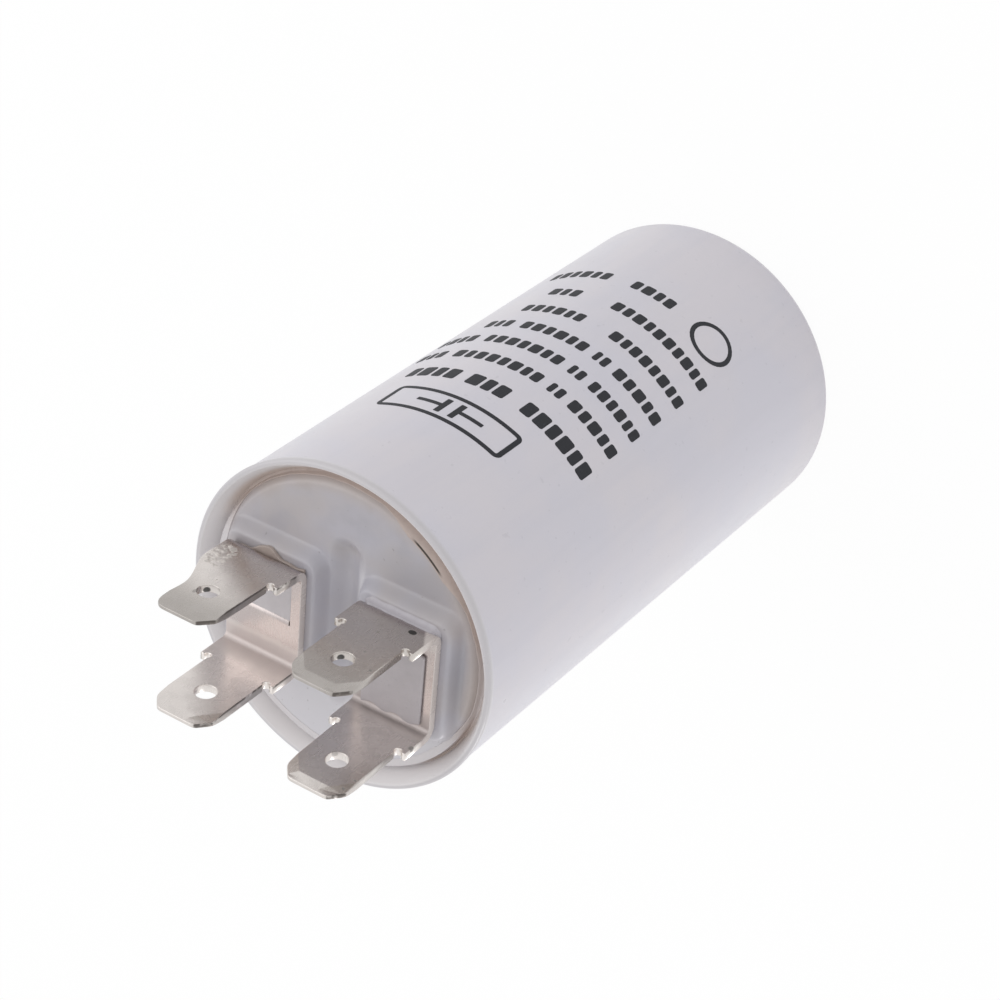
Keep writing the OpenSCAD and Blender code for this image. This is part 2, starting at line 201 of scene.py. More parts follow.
class SealLook(PropertyGroup):
    """Bead of sealant between lid and wall."""

    brown: colour_setting("Brown", "Colour of the sealant", srgb(189, 174, 167))
    thin: colour_setting("Thin", "Colour of the sealant where it is thin", srgb(205, 201, 203))
    dark: colour_setting("Dark line", "Colour of the crack along the lid", srgb(58, 50, 44))
    cover: share_setting("Cover", "Share of the lid's bevel that the sealant covers", 0.44)
    gap: length_setting("Gap", "Clearance between lid and wall that the sealant fills", 0.15)
    skin: length_setting("Skin", "Thickness of the sealant on the lid's bevel", 0.05)
    climb: length_setting("Climb", "How high the sealant climbs the wall", 0.24)
    wander: length_setting("Wander", "How much that height wanders", 0.12)
    near: angle_setting("Near side", "Angle round the axis of the middle of the thick stretch", 52)


class TerminalLook(PropertyGroup):
    """Shape and finish of the folded sheet terminals."""

    tin: colour_setting("Tin", "Colour of the tinned sheet", srgb(219, 213, 209))
    # Painted shade: the webs between the blades get a darker colour than the tin
    web: colour_setting("Web", "Colour of the webs between the blades", srgb(189, 179, 177))
    # Painted shade: the upper blades get a darker tin than the lower ones
    shaded_tin: colour_setting("Dull tin", "Colour of the duller upper blades", srgb(203, 197, 192))
    # Painted light: a pale, less metallic colour at the upper right blade's foot and along the webs' sides
    pale: colour_setting("Pale", "Colour of the pale corner at a root", srgb(206, 198, 194))
    matte: colour_setting("Matte", "Colour of the matte roots of the lower blades", srgb(205, 194, 191))
    # Painted shade: a dark colour along the cut edges and in the detent holes, also used for the stamping
    # marks
    shade_and_mark_colour: colour_setting("Cut", "Colour of the torn cut edges", srgb(84, 78, 74))
    roughness: share_setting("Roughness", "Roughness of the tin", 0.27)
    sheet: length_setting("Sheet", "Thickness of the sheet", 0.8)
    bend: length_setting("Bend", "Inside radius of the bends", 0.5)
    tab: length_setting("Tab", "Width of a tab", 6.3)
    shoulder: length_setting("Shoulder", "Height of the shoulders above the web's underside", 4.3)
    relief: length_setting("Relief", "Radius of the relief beside each tab", 0.35)
    chamfer_w: length_setting("Chamfer width", "Width of the tip's corner chamfer", 1.1)
    chamfer_h: length_setting("Chamfer height", "Height of the tip's corner chamfer", 1.3)
    bevel_l: length_setting("Bevel length", "Length over which a tip is thinned", 1.0)
    bevel_t: length_setting("Bevel edge", "Thickness left at a tip", 0.35)
    hole: length_setting("Hole", "Diameter of the detent hole", 2.0)
    hole_up: length_setting("Hole height", "Height of the hole above the web's underside", 8.55)
    window: length_setting("Window", "Width of the window lanced out of the web", 6.0)
    window_corner: length_setting("Window corner", "Rounding of the window's corners", 0.8)
    slit: length_setting("Slit", "Width of the cut between window and tang", 0.12)
    tang_front: length_setting("Tang front", "Front face of the tang from the terminal's centre", 0.15)
    edge: length_setting("Edge", "Rounding of the stamped edges", 0.07)
    corner: length_setting("Corner", "Softness of the tip's corners", 0.45)
    lean_left: angle_setting("Left lean", "Outward lean of the upper left blade", 2.0)
    lean_right: angle_setting("Right lean", "Outward lean of the lower right blade", 1.5)


class ResinLook(PropertyGroup):
    """Resin that came out round the terminals."""

    pale: colour_setting("Pale resin", "Colour of the resin on the right web", srgb(178, 172, 175))
    brown: colour_setting("Brown resin", "Colour of the resin at the left root", srgb(172, 159, 152))
    fill: colour_setting("Window resin", "Colour of the resin in the left window", srgb(198, 193, 196))
    root: colour_setting("Root resin", "Colour of the resin at the right root", srgb(186, 182, 188))
    voxel: length_setting("Voxel", "Size of the steps in which the resin is softened", 0.06)
    passes: IntProperty(name="Passes", description="How often the resin is softened", default=4, min=1)


class StageLook(PropertyGroup):
    """Camera, floor and lamps."""

    azimuth: angle_setting("Azimuth", "Camera's angle round the part", 141.1)
    elevation: angle_setting("Elevation", "Camera's angle above the floor", 46.1)
    roll: angle_setting("Roll", "Turn of the picture about the line of sight", -126.17)
    distance: length_setting("Distance", "Camera's distance from the point that it looks at", 246.1)
    aim: FloatVectorProperty(
        name="Aim", description="Point that the camera looks at", subtype="TRANSLATION", unit="LENGTH",
        default=(-0.05 * MM, 0.97 * MM, 36.29 * MM))
    lens: FloatProperty(name="Lens", description="Focal length in millimetres", default=93.65)
    sensor: FloatProperty(name="Sensor", description="Width of the sensor in millimetres", default=36)
    floor: length_setting("Floor", "Half width of the floor", 1500)
    fill: FloatProperty(name="Fill", description="Light from all round", default=0.87)
    key: FloatProperty(
        name="Key", description="Power of the lamp over the terminals", default=0.55, unit="POWER")
    key_place: FloatVectorProperty(
        name="Key place", description="That lamp's place from the middle of the lid", subtype="TRANSLATION",
        unit="LENGTH", default=(-0.3, 0.14, 0.32))
    side: FloatProperty(
        name="Side", description="Power of the lamp beside the can", default=0.5, unit="POWER")
    side_place: FloatVectorProperty(
        name="Side place", description="That lamp's place from the middle of the lid", subtype="TRANSLATION",
        unit="LENGTH", default=(0.22, -0.38, -0.02))
    key_size: length_setting("Key size", "Width of the lamp over the terminals", 420)
    side_size: length_setting("Side size", "Width of the lamp beside the can", 150)
    white: share_setting("White", "How much of the floor shows as plain white", 0.95)


# Shader building


class Wire:
    """A socket of a shader tree. Arithmetic on wires adds Math nodes."""

    def __init__(self, sketch, socket):
        self.sketch = sketch
        self.socket = socket

    def other(self, name):
        """Another output of the same node."""
        return Wire(self.sketch, self.socket.node.outputs[name])

    def __add__(self, value):
        return self.sketch.math("ADD", self, value)

    def __radd__(self, value):
        return self.sketch.math("ADD", value, self)

    def __sub__(self, value):
        return self.sketch.math("SUBTRACT", self, value)

    def __rsub__(self, value):
        return self.sketch.math("SUBTRACT", value, self)

    def __mul__(self, value):
        return self.sketch.math("MULTIPLY", self, value)

    def __rmul__(self, value):
        return self.sketch.math("MULTIPLY", value, self)

    def __truediv__(self, value):
        return self.sketch.math("DIVIDE", self, value)

    def __pow__(self, value):
        return self.sketch.math("POWER", self, value)


class Sketch:
    """The nodes of one material, added one call at a time."""

    def __init__(self, tree):
        self.tree = tree
        self.tree.nodes.clear()

    def add(self, kind, settings=None, values=None, output=0):
        """Adds a node, sets it up, fills or links its sockets and gives one of its outputs."""
        node = self.tree.nodes.new(kind)
        for name, setting in (settings or {}).items():
            setattr(node, name, setting)
        for name, value in (values or {}).items():
            socket = node.inputs[name]
            if isinstance(value, Wire):
                self.tree.links.new(value.socket, socket)
            elif socket.type == "RGBA":
                socket.default_value = (*value[:3], 1)
            else:
                socket.default_value = value
        return Wire(self, node.outputs[output]) if node.outputs else node

    def math(self, operation, *values):
        """A Math node on wires and numbers."""
        return self.add("ShaderNodeMath", {"operation": operation}, dict(enumerate(values)))

    def vector_math(self, operation, *values, output="Vector"):
        """A Vector Math node on wires and vectors."""
        settings = {"operation": operation}
        return self.add("ShaderNodeVectorMath", settings, dict(enumerate(values)), output)

    def place(self, stretch=(1, 1, 1)):
        """Position on the part in millimetres, drawn out along some axes."""
        where = self.add("ShaderNodeTexCoord", output="Object")
        return self.vector_math("MULTIPLY", where, tuple(1 / (MM * part) for part in stretch))

    def axes(self, vector):
        """The three parts of a vector."""
        first = self.add("ShaderNodeSeparateXYZ", values={0: vector})
        return first, first.other("Y"), first.other("Z")

    def cloud(self, vector, size, detail=2.0, rough=0.5):
        """Soft noise of that feature size, from 0 to 1."""
        values = {"Vector": vector, "Scale": 1 / size, "Detail": detail, "Roughness": rough}
        return self.add("ShaderNodeTexNoise", values=values)

    def step(self, value, start, end):
        """A soft step from 0 at start to 1 at end, or the other way round."""
        values = {"Value": value, "From Min": start, "From Max": end, "To Min": 0.0, "To Max": 1.0}
        return self.add("ShaderNodeMapRange", {"interpolation_type": "SMOOTHSTEP"}, values)

    def mix(self, share, first, second):
        """One colour fading into another."""
        settings = {"data_type": "RGBA", "blend_type": "MIX"}
        return self.add("ShaderNodeMix", settings, {0: share, 6: first, 7: second}, output=2)

    def reach(self, vector, centre, radii):
        """Distance from a point as a share of an oval's half sizes."""
        away = self.vector_math("SUBTRACT", vector, centre)
        share = self.vector_math("DIVIDE", away, radii)
        return self.vector_math("LENGTH", share, output="Value")

    def spot(self, vector, centre, radii):
        """A soft oval about a point, 1 inside and 0 outside."""
        return self.step(self.reach(vector, centre, radii), 1.15, 0.8)

    def haze(self, vector, centre, radii):
        """A cloud about a point that fades evenly from 1 at its middle to 0 at its edge."""
        return self.step(self.reach(vector, centre, radii), 1.0, 0.1)

    def bump(self, height, depth, normal=None):
        """A normal from a height field whose full range is that deep, in metres."""
        values = {"Height": height, "Distance": depth, "Strength": 1.0}
        if normal is not None:
            values["Normal"] = normal
        return self.add("ShaderNodeBump", values=values)

    def surface(self, **sockets):
        """Ends the material in one principled shader, whose sockets are given by name."""
        values = {}
        for name, value in sockets.items():
            values[name.replace("_", " ").title().replace("Ior", "IOR")] = value
        shader = self.add("ShaderNodeBsdfPrincipled", values=values)
        self.add("ShaderNodeOutputMaterial", values={"Surface": shader})


def new_material(name):
    """A material with an empty tree, and the sketch that fills it."""
    material = bpy.data.materials.new(name)
    material.use_nodes = True
    return material, Sketch(material.node_tree)


def axis_distance(x, y):
    """Distance from the can's axis."""
    return (x * x + y * y) ** 0.5


def sunk_side(s, x, y):
    """Share of the side of the mouth on which the sealant has sunk."""
    return s.step(SINK_WAY[0] * x + SINK_WAY[1] * y, *SINK_SPAN)


def can_plastic(look):
    """Satin white moulding with faint clouds, flow lines along the axis and a fine grain; the flared mouth
    is given a lighter colour than the wall, painted light that lifts the shade in the flare.
    """
    material, s = new_material("can_plastic")
    place = s.place()
    x, y, z = s.axes(place)
    radius = axis_distance(x, y)
    clouds = s.step(s.cloud(place, size=12, detail=3), 0.35, 0.65)
    flow = s.cloud(s.place((1, 1, 14)), size=1.6, detail=2)
    dust = s.step(s.cloud(place, size=0.6, detail=1), 0.71, 0.78)
    tone = s.mix(clouds, look.plastic, look.warm)
    tone = s.mix(s.step(flow, 0.4, 0.7) * 0.35, tone, scaled(look.plastic, 0.96))
    tone = s.mix(dust * 0.18, tone, scaled(look.plastic, 0.6))
    rim = s.step(z, RIM_Z - (look.lip + look.swell) / MM, RIM_Z - look.lip / MM)
    tone = s.mix(rim * 0.8, tone, look.collar)
    # Painted light: the flared mouth inside the lip is given a lighter colour than the wall
    inside = s.step(radius, CAN_R - 0.1, CAN_R - 0.5) * s.step(z, RIM_Z - 3, RIM_Z - 2)
    stained = s.step(z, RIM_Z - 0.5, RIM_Z - 1.5) * sunk_side(s, x, y)
    tone = s.mix(inside, tone, s.mix(stained, look.mouth, look.stain))
    grain = s.cloud(place, size=look.grain / MM, detail=3, rough=0.6)
    waves = s.bump(s.cloud(place, size=7, detail=1), depth=5 * look.grain_depth)
    rough = look.roughness + 0.1 * (s.cloud(place, size=2.5, detail=2) - 0.5)
    s.surface(base_color=tone, roughness=rough, normal=s.bump(grain, look.grain_depth, normal=waves))
    return material


# Specks of dirt beside the seal: middle and half sizes in millimetres
LID_SPECKS = (
    ((11.75, 5.35, 61), (0.22, 0.3, 0.8)),
    ((13.9, 4.1, 60.4), (0.12, 0.28, 0.6)),
    ((14.3, 3.5, 60.1), (0.15, 0.22, 0.5)),
)
# Darker patches on the lid, the first a darker tone on its upper right, the second painted shade along the
# foot of the right platform's outer wall: middle and half sizes in millimetres, and strength
LID_CLOUDS_AND_SHADE = (
    ((8.0, 8.0, 61), (6.5, 3.5, 4), 0.5),
    ((12.35, 0.3, 61.2), (0.95, 6.5, 2.5), 0.75),
)


def lid_plastic(look):
    """Greyer moulding in cool and warm clouds, stained beside the seal, with a few specks of dirt, painted
    light on the groove's shoulder and on the lid's lower end, and painted shade at the foot of the right
    platform's outer wall.
    """
    material, s = new_material("lid_plastic")
    place = s.place()
    x, y, z = s.axes(place)
    radius = axis_distance(x, y)
    clouds = s.cloud(place, size=3.2, detail=3)
    tone = s.mix(s.step(s.cloud(place, size=6, detail=2), 0.35, 0.65), look.plastic, look.warm)
    tone = s.mix(s.step(clouds, 0.45, 0.8) * 0.6, tone, scaled(look.plastic, 0.86))
    stain = s.step(radius + 1.6 * (clouds - 0.5), look.stain_from / MM, LID_R)
    tone = s.mix(stain * 0.6 * sunk_side(s, x, y), tone, look.stain)
    # Painted highlight along the groove's right shoulder, short of the groove's ends
    shoulder = look.groove_w / MM / 2
    highlit = s.step(x, shoulder - 0.9, shoulder - 0.2) * s.step(x, shoulder + 0.7, shoulder)
    ends = look.groove_l / MM / 2
    highlit = highlit * s.step(s.math("ABSOLUTE", y), ends + 1, ends - 2)
    tone = s.mix(highlit * 0.7, tone, look.highlit)
    # Darker patches: a darker tone, then painted shade at the right platform's foot
    for middle, half, share in LID_CLOUDS_AND_SHADE:
        tone = s.mix(s.haze(place, middle, half) * share, tone, scaled(look.plastic, 0.72))
    # Painted light: paler towards the lid's lower end, below y of -3.5 mm
    tone = s.mix(s.step(y, -3.5, -8.5) * 0.9, tone, look.pale)
    specks = s.step(s.cloud(place, size=0.45, detail=1), 0.74, 0.8) * 0.35
    for middle, half in LID_SPECKS:
        specks = specks + 0.6 * s.spot(place, middle, half)
    tone = s.mix(specks, tone, scaled(look.stain, 0.3))
    grain = s.cloud(place, size=0.3, detail=3, rough=0.6)
    rough = look.roughness + 0.15 * (clouds - 0.5)
    s.surface(base_color=tone, roughness=rough, normal=s.bump(grain, depth=0.008 * MM))
    return material


# Where the sealant has cracked away from the lid's face: angles round the axis, in degrees, at which
# the crack begins, is full, fades and ends
CRACK = (43, 47, 58, 62)


def seal_brown(look, lid):
    """Brown sealant, uneven, with a dark crack along the lid's face on the near stretch."""
    material, s = new_material("sealant")
    place = s.place()
    x, y, z = s.axes(place)
    radius = axis_distance(x, y)
    clouds = s.cloud(place, size=0.9, detail=3)
    tone = s.mix(clouds, look.brown, scaled(look.brown, 0.82))
    near = x * math.cos(look.near) + y * math.sin(look.near)
    far = s.step(near + 5 * (s.cloud(place, size=5, detail=2) - 0.5), -1, -6)
    filled = (1 - sunk_side(s, x, y)) * s.step(radius, LID_R - 0.02, LID_R - 0.15)
    tone = s.mix(s.step(y, 5, 1) * s.step(y, -6, -3) * 0.5, tone, look.thin)
    tone = s.mix(s.math("MAXIMUM", far, filled), tone, look.thin)
    for middle, half in LID_SPECKS:
        tone = s.mix(s.spot(place, middle, half) * 0.6, tone, scaled(look.dark, 1.5))
    begin, full, fade, end = (math.radians(part) for part in CRACK)
    angle = s.math("ARCTAN2", y, x)
    stretch = s.step(angle, begin, full) * s.step(angle, end, fade)
    off = s.math("ABSOLUTE", radius - (LID_R - 0.9 * lid.bevel_w / MM))
    tone = s.mix(s.step(off, 0.11, 0.05) * stretch, tone, look.dark)
    grain = s.cloud(place, size=0.35, detail=3, rough=0.65)
    s.surface(base_color=tone, roughness=0.55 + 0.2 * (clouds - 0.5), normal=s.bump(grain, depth=0.03 * MM))
    return material


# Dark marks on the tinned sheet, of which the three on the walls of the detent holes, at about 70.2 mm high,
# are painted shade seen through the holes: middle and half sizes in millimetres, and how dark each one is
TIN_MARKS_AND_HOLE_SHADE = (
    ((9.41, 5.25, 64.05), (0.42, 0.4, 0.33), 0.97),
    ((7.98, 5.25, 68.85), (0.15, 0.3, 0.15), 0.45),
    ((9.9, 5.25, 70.65), (0.17, 0.3, 0.15), 0.5),
    ((7.15, 5.25, 65.9), (0.15, 0.3, 0.15), 0.35),
    ((10.05, -5.5, 72.05), (0.17, 0.3, 0.14), 0.5),
    ((9.85, -5.5, 73.4), (0.17, 0.3, 0.14), 0.6),
    ((11.05, -5.4, 67.5), (0.2, 0.3, 0.15), 0.6),
    ((11.2, -5.4, 65.6), (0.25, 0.3, 0.3), 0.6),
    ((-8.05, 5.5, 71.6), (0.2, 0.35, 0.32), 0.3),
    # Painted shade seen through the detent holes
    ((-7.85, 4.95, 70.25), (0.34, 0.3, 0.34), 0.92),
    ((6.55, 4.7, 70.25), (0.34, 0.3, 0.34), 0.92),
    ((6.45, -5.55, 70.15), (0.3, 0.3, 0.3), 0.3),
)
# Line across the foot of the upper right blade that bounds a painted highlight, as x and z of a point and of
# the way to its highlighted side
ROOT_HIGHLIGHT_LINE = ((10.5, 63.75), (0.86, -0.51))


class SheetZones:
    """Places on the two terminals, and shares of their sides, blades and webs."""

    def __init__(self, s, place):
        self.x, self.y, self.z = s.axes(place)
        self.across = self.x - PITCH / 2 * s.math("SIGN", self.x)
        self.left = s.step(self.x, 1, -1)
        self.right = 1 - self.left
        self.upper = s.step(self.y, 3, 4)
        self.lower = s.step(self.y, -3, -4)
        self.web = s.step(self.z, WEB_Z + 2, WEB_Z + 1)


def tin_light_and_shade(s, look, at):
    """Colours of the sheet from its webs to its tips, brighter on the lower blades than on the upper:
    painted shade on the webs and upper blades, painted light on the lower blades.
    """
    # Painted shade on the webs and upper blades, painted light on the lower blades
    grown = s.step(at.z, WEB_Z + 6.5, WEB_Z + 12)
    tone = s.mix(at.web, look.tin, look.web)
    tone = s.mix(at.upper * (at.right + at.left * grown), tone, look.shaded_tin)
    tone = s.mix(at.upper * grown * (0.9 - 0.05 * at.left), tone, scaled(look.shaded_tin, 0.66))
    return s.mix(at.lower * s.step(at.z, WEB_Z + 11, WEB_Z + 5), tone, scaled(look.tin, 1.18))


def matte_roots(s, at):
    """Share of the matte roots of the lower blades, which reach higher on the left one."""
    on_left = at.left * s.step(at.z, WEB_Z + 4, WEB_Z + 1)
    on_right = at.right * s.step(at.z, WEB_Z + 2.6, WEB_Z + 1.6) * 0.8
    return at.lower * (on_left + on_right)


def highlight_places(s, at):
    """Share of the painted highlight at the upper right blade's foot and of the painted light on the webs'
    sides.
    """
    (from_x, from_z), (way_x, way_z) = ROOT_HIGHLIGHT_LINE
    past_line = (at.x - from_x) * way_x + (at.z - from_z) * way_z
    corner = at.upper * s.step(past_line, -0.15, 0.15)
    side = s.step(at.across, HALF_BASE - 0.1, HALF_BASE - 0.03) * at.web
    return s.math("MAXIMUM", corner, side)


def cut_edge_shade(s, look, at):
    """Share of the painted shade along the cut edges: the right corner of each tip and the sides below it.
    """
    half_tab = look.tab / MM / 2
    rise, run = look.chamfer_h / MM, look.chamfer_w / MM
    past = ((at.across - half_tab) * rise + (at.z - TIP_Z + rise) * run) / math.hypot(rise, run)
    corner = s.step(past, -0.14, -0.05) * s.step(at.z, TIP_Z - 1.6 * rise, TIP_Z - 1.2 * rise)
    grown = at.z - WEB_Z - (look.bend + look.sheet) / MM
    outer = LEFT_HIGH.y / MM
    inner = (LEFT_LOW.y + look.sheet) / MM
    front = at.upper * (outer + at.left * grown * math.tan(look.lean_left))
    front = front + (1 - at.upper) * (inner - at.right * grown * math.tan(look.lean_right))
    skin = 0.35 + 0.65 * s.step(front - at.y, 0.26, 0.1)
    shoulder = WEB_Z + look.shoulder / MM
    side = s.step(at.across, half_tab - 0.08, half_tab - 0.02) * s.step(at.z, shoulder, shoulder + 0.2)
    base = s.step(at.across, HALF_BASE - 0.08, HALF_BASE - 0.02) * s.step(grown, 0, 0.5)
    share = 0.85 * at.left + 0.35 * at.right * (1 - at.upper)
    return s.math("MINIMUM", corner + (side + base) * skin * share, 0.9)


def tinned_sheet(look):
    """Tin over rolled sheet: drawn lines, warm roots and stamping marks, with painted shade on the cut
    edges, the webs, the upper blades and in the detent holes, and painted light on pale patches and the
    lower blades.
    """
    material, s = new_material("tinned_sheet")
    place = s.place()
    at = SheetZones(s, place)
    clouds = s.cloud(place, size=1.3, detail=3)
    lines = s.cloud(s.place((0.06, 2.5, 2.5)), size=1, detail=2, rough=0.6)
    matte = matte_roots(s, at)
    # Painted highlight at the upper right blade's foot and painted light on the webs' sides
    pale = highlight_places(s, at)
    # Painted shade along the cut edges, broken into patches
    shaded = cut_edge_shade(s, look, at) * s.step(s.cloud(place, size=0.7, detail=2), 0.25, 0.5)
    tone = tin_light_and_shade(s, look, at)
    tone = s.mix(matte, tone, look.matte)
    # Painted shade: the right web darker still
    tone = s.mix(at.right * at.web, tone, scaled(look.web, 0.86))
    tone = s.mix(s.step(clouds, 0.35, 0.75) * 0.25, tone, scaled(look.tin, 0.8))
    tone = s.mix(s.step(lines, 0.45, 0.75) * 0.1, tone, scaled(look.tin, 0.6))
    tone = s.mix(pale * 0.8, tone, look.pale)
    tone = s.mix(shaded, tone, look.shade_and_mark_colour)
    dark = 0.0
    # Dark marks, those in the detent holes painted shade
    for middle, half, depth in TIN_MARKS_AND_HOLE_SHADE:
        dark = s.spot(place, middle, half) * depth + dark
    tone = s.mix(dark, tone, scaled(look.shade_and_mark_colour, 0.1))
    rough = look.roughness + 0.16 * (clouds - 0.5) + 0.1 * (lines - 0.5)
    rough = rough + 0.3 * dark + 0.2 * shaded + 0.2 * matte
    s.surface(
        base_color=tone, roughness=rough, metallic=1 - dark - 0.8 * pale - 0.6 * matte,
        normal=s.bump(0.3 * lines + 0.7 * clouds, depth=0.012 * MM))
    return material


def rough_tin(look):
    """Lumpy tin that ran up the edge of a blade, mottled pale and dark as painted light on the tops of its
    lumps and painted shade between them.
    """
    material, s = new_material("rough_tin")
    place = s.place()
    lumps = s.cloud(place, size=0.3, detail=2)
    tone = s.mix(s.step(lumps, 0.4, 0.6), scaled(look.shaded_tin, 0.92), scaled(look.shaded_tin, 1.2))
    s.surface(
        base_color=tone, metallic=0.45, roughness=0.42 + 0.3 * (lumps - 0.5),
        normal=s.bump(s.cloud(place, size=0.2, detail=2), depth=0.02 * MM))
    return material


def set_resin(name, colour):
    """Set resin, a little cloudy, with a soft uneven skin."""
    material, s = new_material(name)
    place = s.place()
    clouds = s.cloud(place, size=1.1, detail=3)
    tone = s.mix(clouds, colour, scaled(colour, 0.86))
    specks = s.step(s.cloud(place, size=0.25, detail=1), 0.7, 0.78)
    tone = s.mix(specks * 0.3, tone, scaled(colour, 0.5))
    s.surface(
        base_color=tone, roughness=0.38 + 0.2 * (clouds - 0.5),
        normal=s.bump(s.cloud(place, size=0.5, detail=2), depth=0.04 * MM))
    return material


def printed_ink(look):
    """Black pad print, a little uneven where the wall's grain shows through."""
    material, s = new_material("printed_ink")
    place = s.place()
    clouds = s.cloud(place, size=1.2, detail=3)
    thin = s.step(s.cloud(place, size=0.16, detail=2), 0.62, 0.75)
    tone = s.mix(clouds, look.ink, scaled(look.ink, 1.8))
    tone = s.mix(thin * 0.3, tone, scaled(look.ink, 6))
    s.surface(
        base_color=tone, roughness=0.5 + 0.15 * (clouds - 0.5), specular_ior_level=0.25,
        normal=s.bump(s.cloud(place, size=0.2, detail=2), depth=0.006 * MM))
    return material


def inner_finish(name, colour, metallic, rough, grain, depth, stretch=(1, 1, 1)):
    """Finish of a piece inside the can: clouded, with a grain that may run along one axis."""
    material, s = new_material(name)
    place = s.place(stretch)
    clouds = s.cloud(s.place(), size=2.5, detail=3)
    fine = s.cloud(place, size=grain, detail=3, rough=0.6)
    tone = s.mix(clouds, scaled(colour, 1.1), scaled(colour, 0.85))
    tone = s.mix(s.step(fine, 0.4, 0.7) * 0.3, tone, scaled(colour, 0.7))
    s.surface(
        base_color=tone, metallic=metallic, roughness=rough + 0.2 * (fine - 0.5),
        normal=s.bump(fine, depth=depth * MM))
    return material


# Mesh building

# Distance below which neighbouring points of a mesh are one, in millimetres
MERGE = 2e-5


def even_shares(steps):
    """Shares from 0 to 1 in even steps."""
    return [i / steps for i in range(steps + 1)]


def quarter_turns(steps, first=0):
    """Angles of a quarter turn in even steps, from a first one in degrees."""
    return [math.radians(first + 90 * i / steps) for i in range(steps + 1)]


def full_turns(steps):
    """Angles of a full turn in even steps."""
    return [math.tau * i / steps for i in range(steps)]


def add_piece(name, mesh, material, slot, *stands_for):
    """Puts a mesh in the scene as a piece of the part, in place of some nodes."""
    piece = bpy.data.objects.new(name, mesh)
    bpy.context.scene.collection.objects.link(piece)
    mesh.materials.clear()
    mesh.materials.append(material)
    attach(piece, BODY)
    if stands_for:
        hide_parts(*stands_for)
    return piece


def finish_node(node, material):
    """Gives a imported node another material."""
    carried = frame["nodes"][node].data
    carried.materials.clear()
    carried.materials.append(material)


def mesh_of(bm, name):
    """A mesh in metres from a bmesh in millimetres, with outward faces."""
    bmesh.ops.remove_doubles(bm, verts=bm.verts, dist=MERGE)
    bmesh.ops.recalc_face_normals(bm, faces=bm.faces)
    if bm.calc_volume(signed=True) < 0:
        bmesh.ops.reverse_faces(bm, faces=bm.faces)
    bmesh.ops.scale(bm, vec=(MM, MM, MM), verts=bm.verts)
    mesh = bpy.data.meshes.new(name)
    bm.to_mesh(mesh)
    bm.free()
    return mesh


def placed(mesh):
    """A mesh set in the scene for a while, so that modifiers can work on it."""
    carrier = bpy.data.objects.new(mesh.name, mesh)
    bpy.context.scene.collection.objects.link(carrier)
    return carrier


def applied(carrier, *helpers):
    """The mesh that an object's modifiers give; the object, its helpers and their meshes are removed."""
    graph = bpy.context.evaluated_depsgraph_get()
    result = bpy.data.meshes.new_from_object(carrier.evaluated_get(graph))
    for part in (carrier, *helpers):
        mesh = part.data
        bpy.data.objects.remove(part)
        bpy.data.meshes.remove(mesh)
    return result


def strip(bm, rings, closed):
    """Faces between neighbouring rings of points; closed joins the last ring to the first."""
    rows = [[bm.verts.new(point) for point in ring] for ring in rings]
    count = len(rows[0])
    pairs = list(zip(rows, rows[1:]))
    if closed:
        pairs.append((rows[-1], rows[0]))
    for low, high in pairs:
        for i in range(count):
            j = (i + 1) % count
            bm.faces.new((low[i], low[j], high[j], high[i]))
    if not closed:
        bm.faces.new(rows[0])
        bm.faces.new(reversed(rows[-1]))


def on_wall(along, up, rise):
    """A point on the can's wall: distance round it, height, and height off the surface."""
    angle = along / CAN_R
    radius = CAN_R + rise
    return radius * math.cos(angle), radius * math.sin(angle), up


# Rows of print, from the terminal end: height of the middle, height of the blocks, and
# runs of blocks as pairs of gap and length round the wall, all in millimetres
PRINT_ROWS = (
    (41.2, 2.0, ((0, 8.6), (1.9, 4.2), (1.2, 5.6))),
    (36.7, 1.6, ((0, 6.3), (0.9, 1.6), (1.0, 9.6), (1.2, 3.4))),
    (32.8, 1.6, ((0, 6.6), (0.9, 1.6), (1.0, 8.4), (1.2, 4.6))),
    (29.0, 1.6, ((0, 6.3), (0.9, 1.6), (1.0, 7.2), (1.2, 3.0))),
    (24.9, 1.6, ((0, 9.6), (3.2, 6.8))),
    (20.5, 1.6, ((0, 12.2), (3.8, 3.4))),
    (15.6, 1.6, ((8.2, 4.8), (2.6, 7.0))),
)
# Widths of neighbouring blocks, as shares of their height, taken in turn
BLOCK_SHARES = (0.62, 0.5, 0.7, 0.55, 0.66)
# Frame round the circuit sign: height of its middle, its height, where it begins, its length, its line
FRAME_ROW = dict(middle=46.9, height=4.4, begin=5.9, length=13.8, line=0.5, corner=0.7)
# Circuit sign inside the frame: two plates and two leads
SIGN = dict(plate=0.6, plate_h=2.5, apart=1.5, lead=2.8, lead_h=0.5, corner=0.1)
# Plain ring: height of its middle, place of its middle round the wall, outer radius and line
RING_MARK = dict(middle=15.6, begin=3.05, outer=2.55, line=0.5)
# Height of the ink's buried side off the wall, and length of its steps round the wall
BURIED = -0.02
WALL_STEP = 0.5


def printed_bar(bm, begin, length, middle, height, corner, film):
    """A bar with round corners, bent round the wall, as a thin closed film."""
    corner = min(corner, height / 2, length / 2)
    turns = reversed(quarter_turns(6))
    left = [(corner * (1 - math.sin(t)), corner * (1 - math.cos(t))) for t in turns]
    count = max(1, round((length - 2 * corner) / WALL_STEP))
    inner = [(corner + (length - 2 * corner) * i / count, 0) for i in range(1, count)]
    right = [(length - along, inset) for along, inset in reversed(left)]
    rings = []
    for along, inset in left[1:] + inner + right[:-1]:
        half = height / 2 - inset
        low, high = middle - half, middle + half
        rings.append([
            on_wall(begin + along, low, BURIED), on_wall(begin + along, low, film),
            on_wall(begin + along, high, film), on_wall(begin + along, high, BURIED)])
    strip(bm, rings, closed=False)


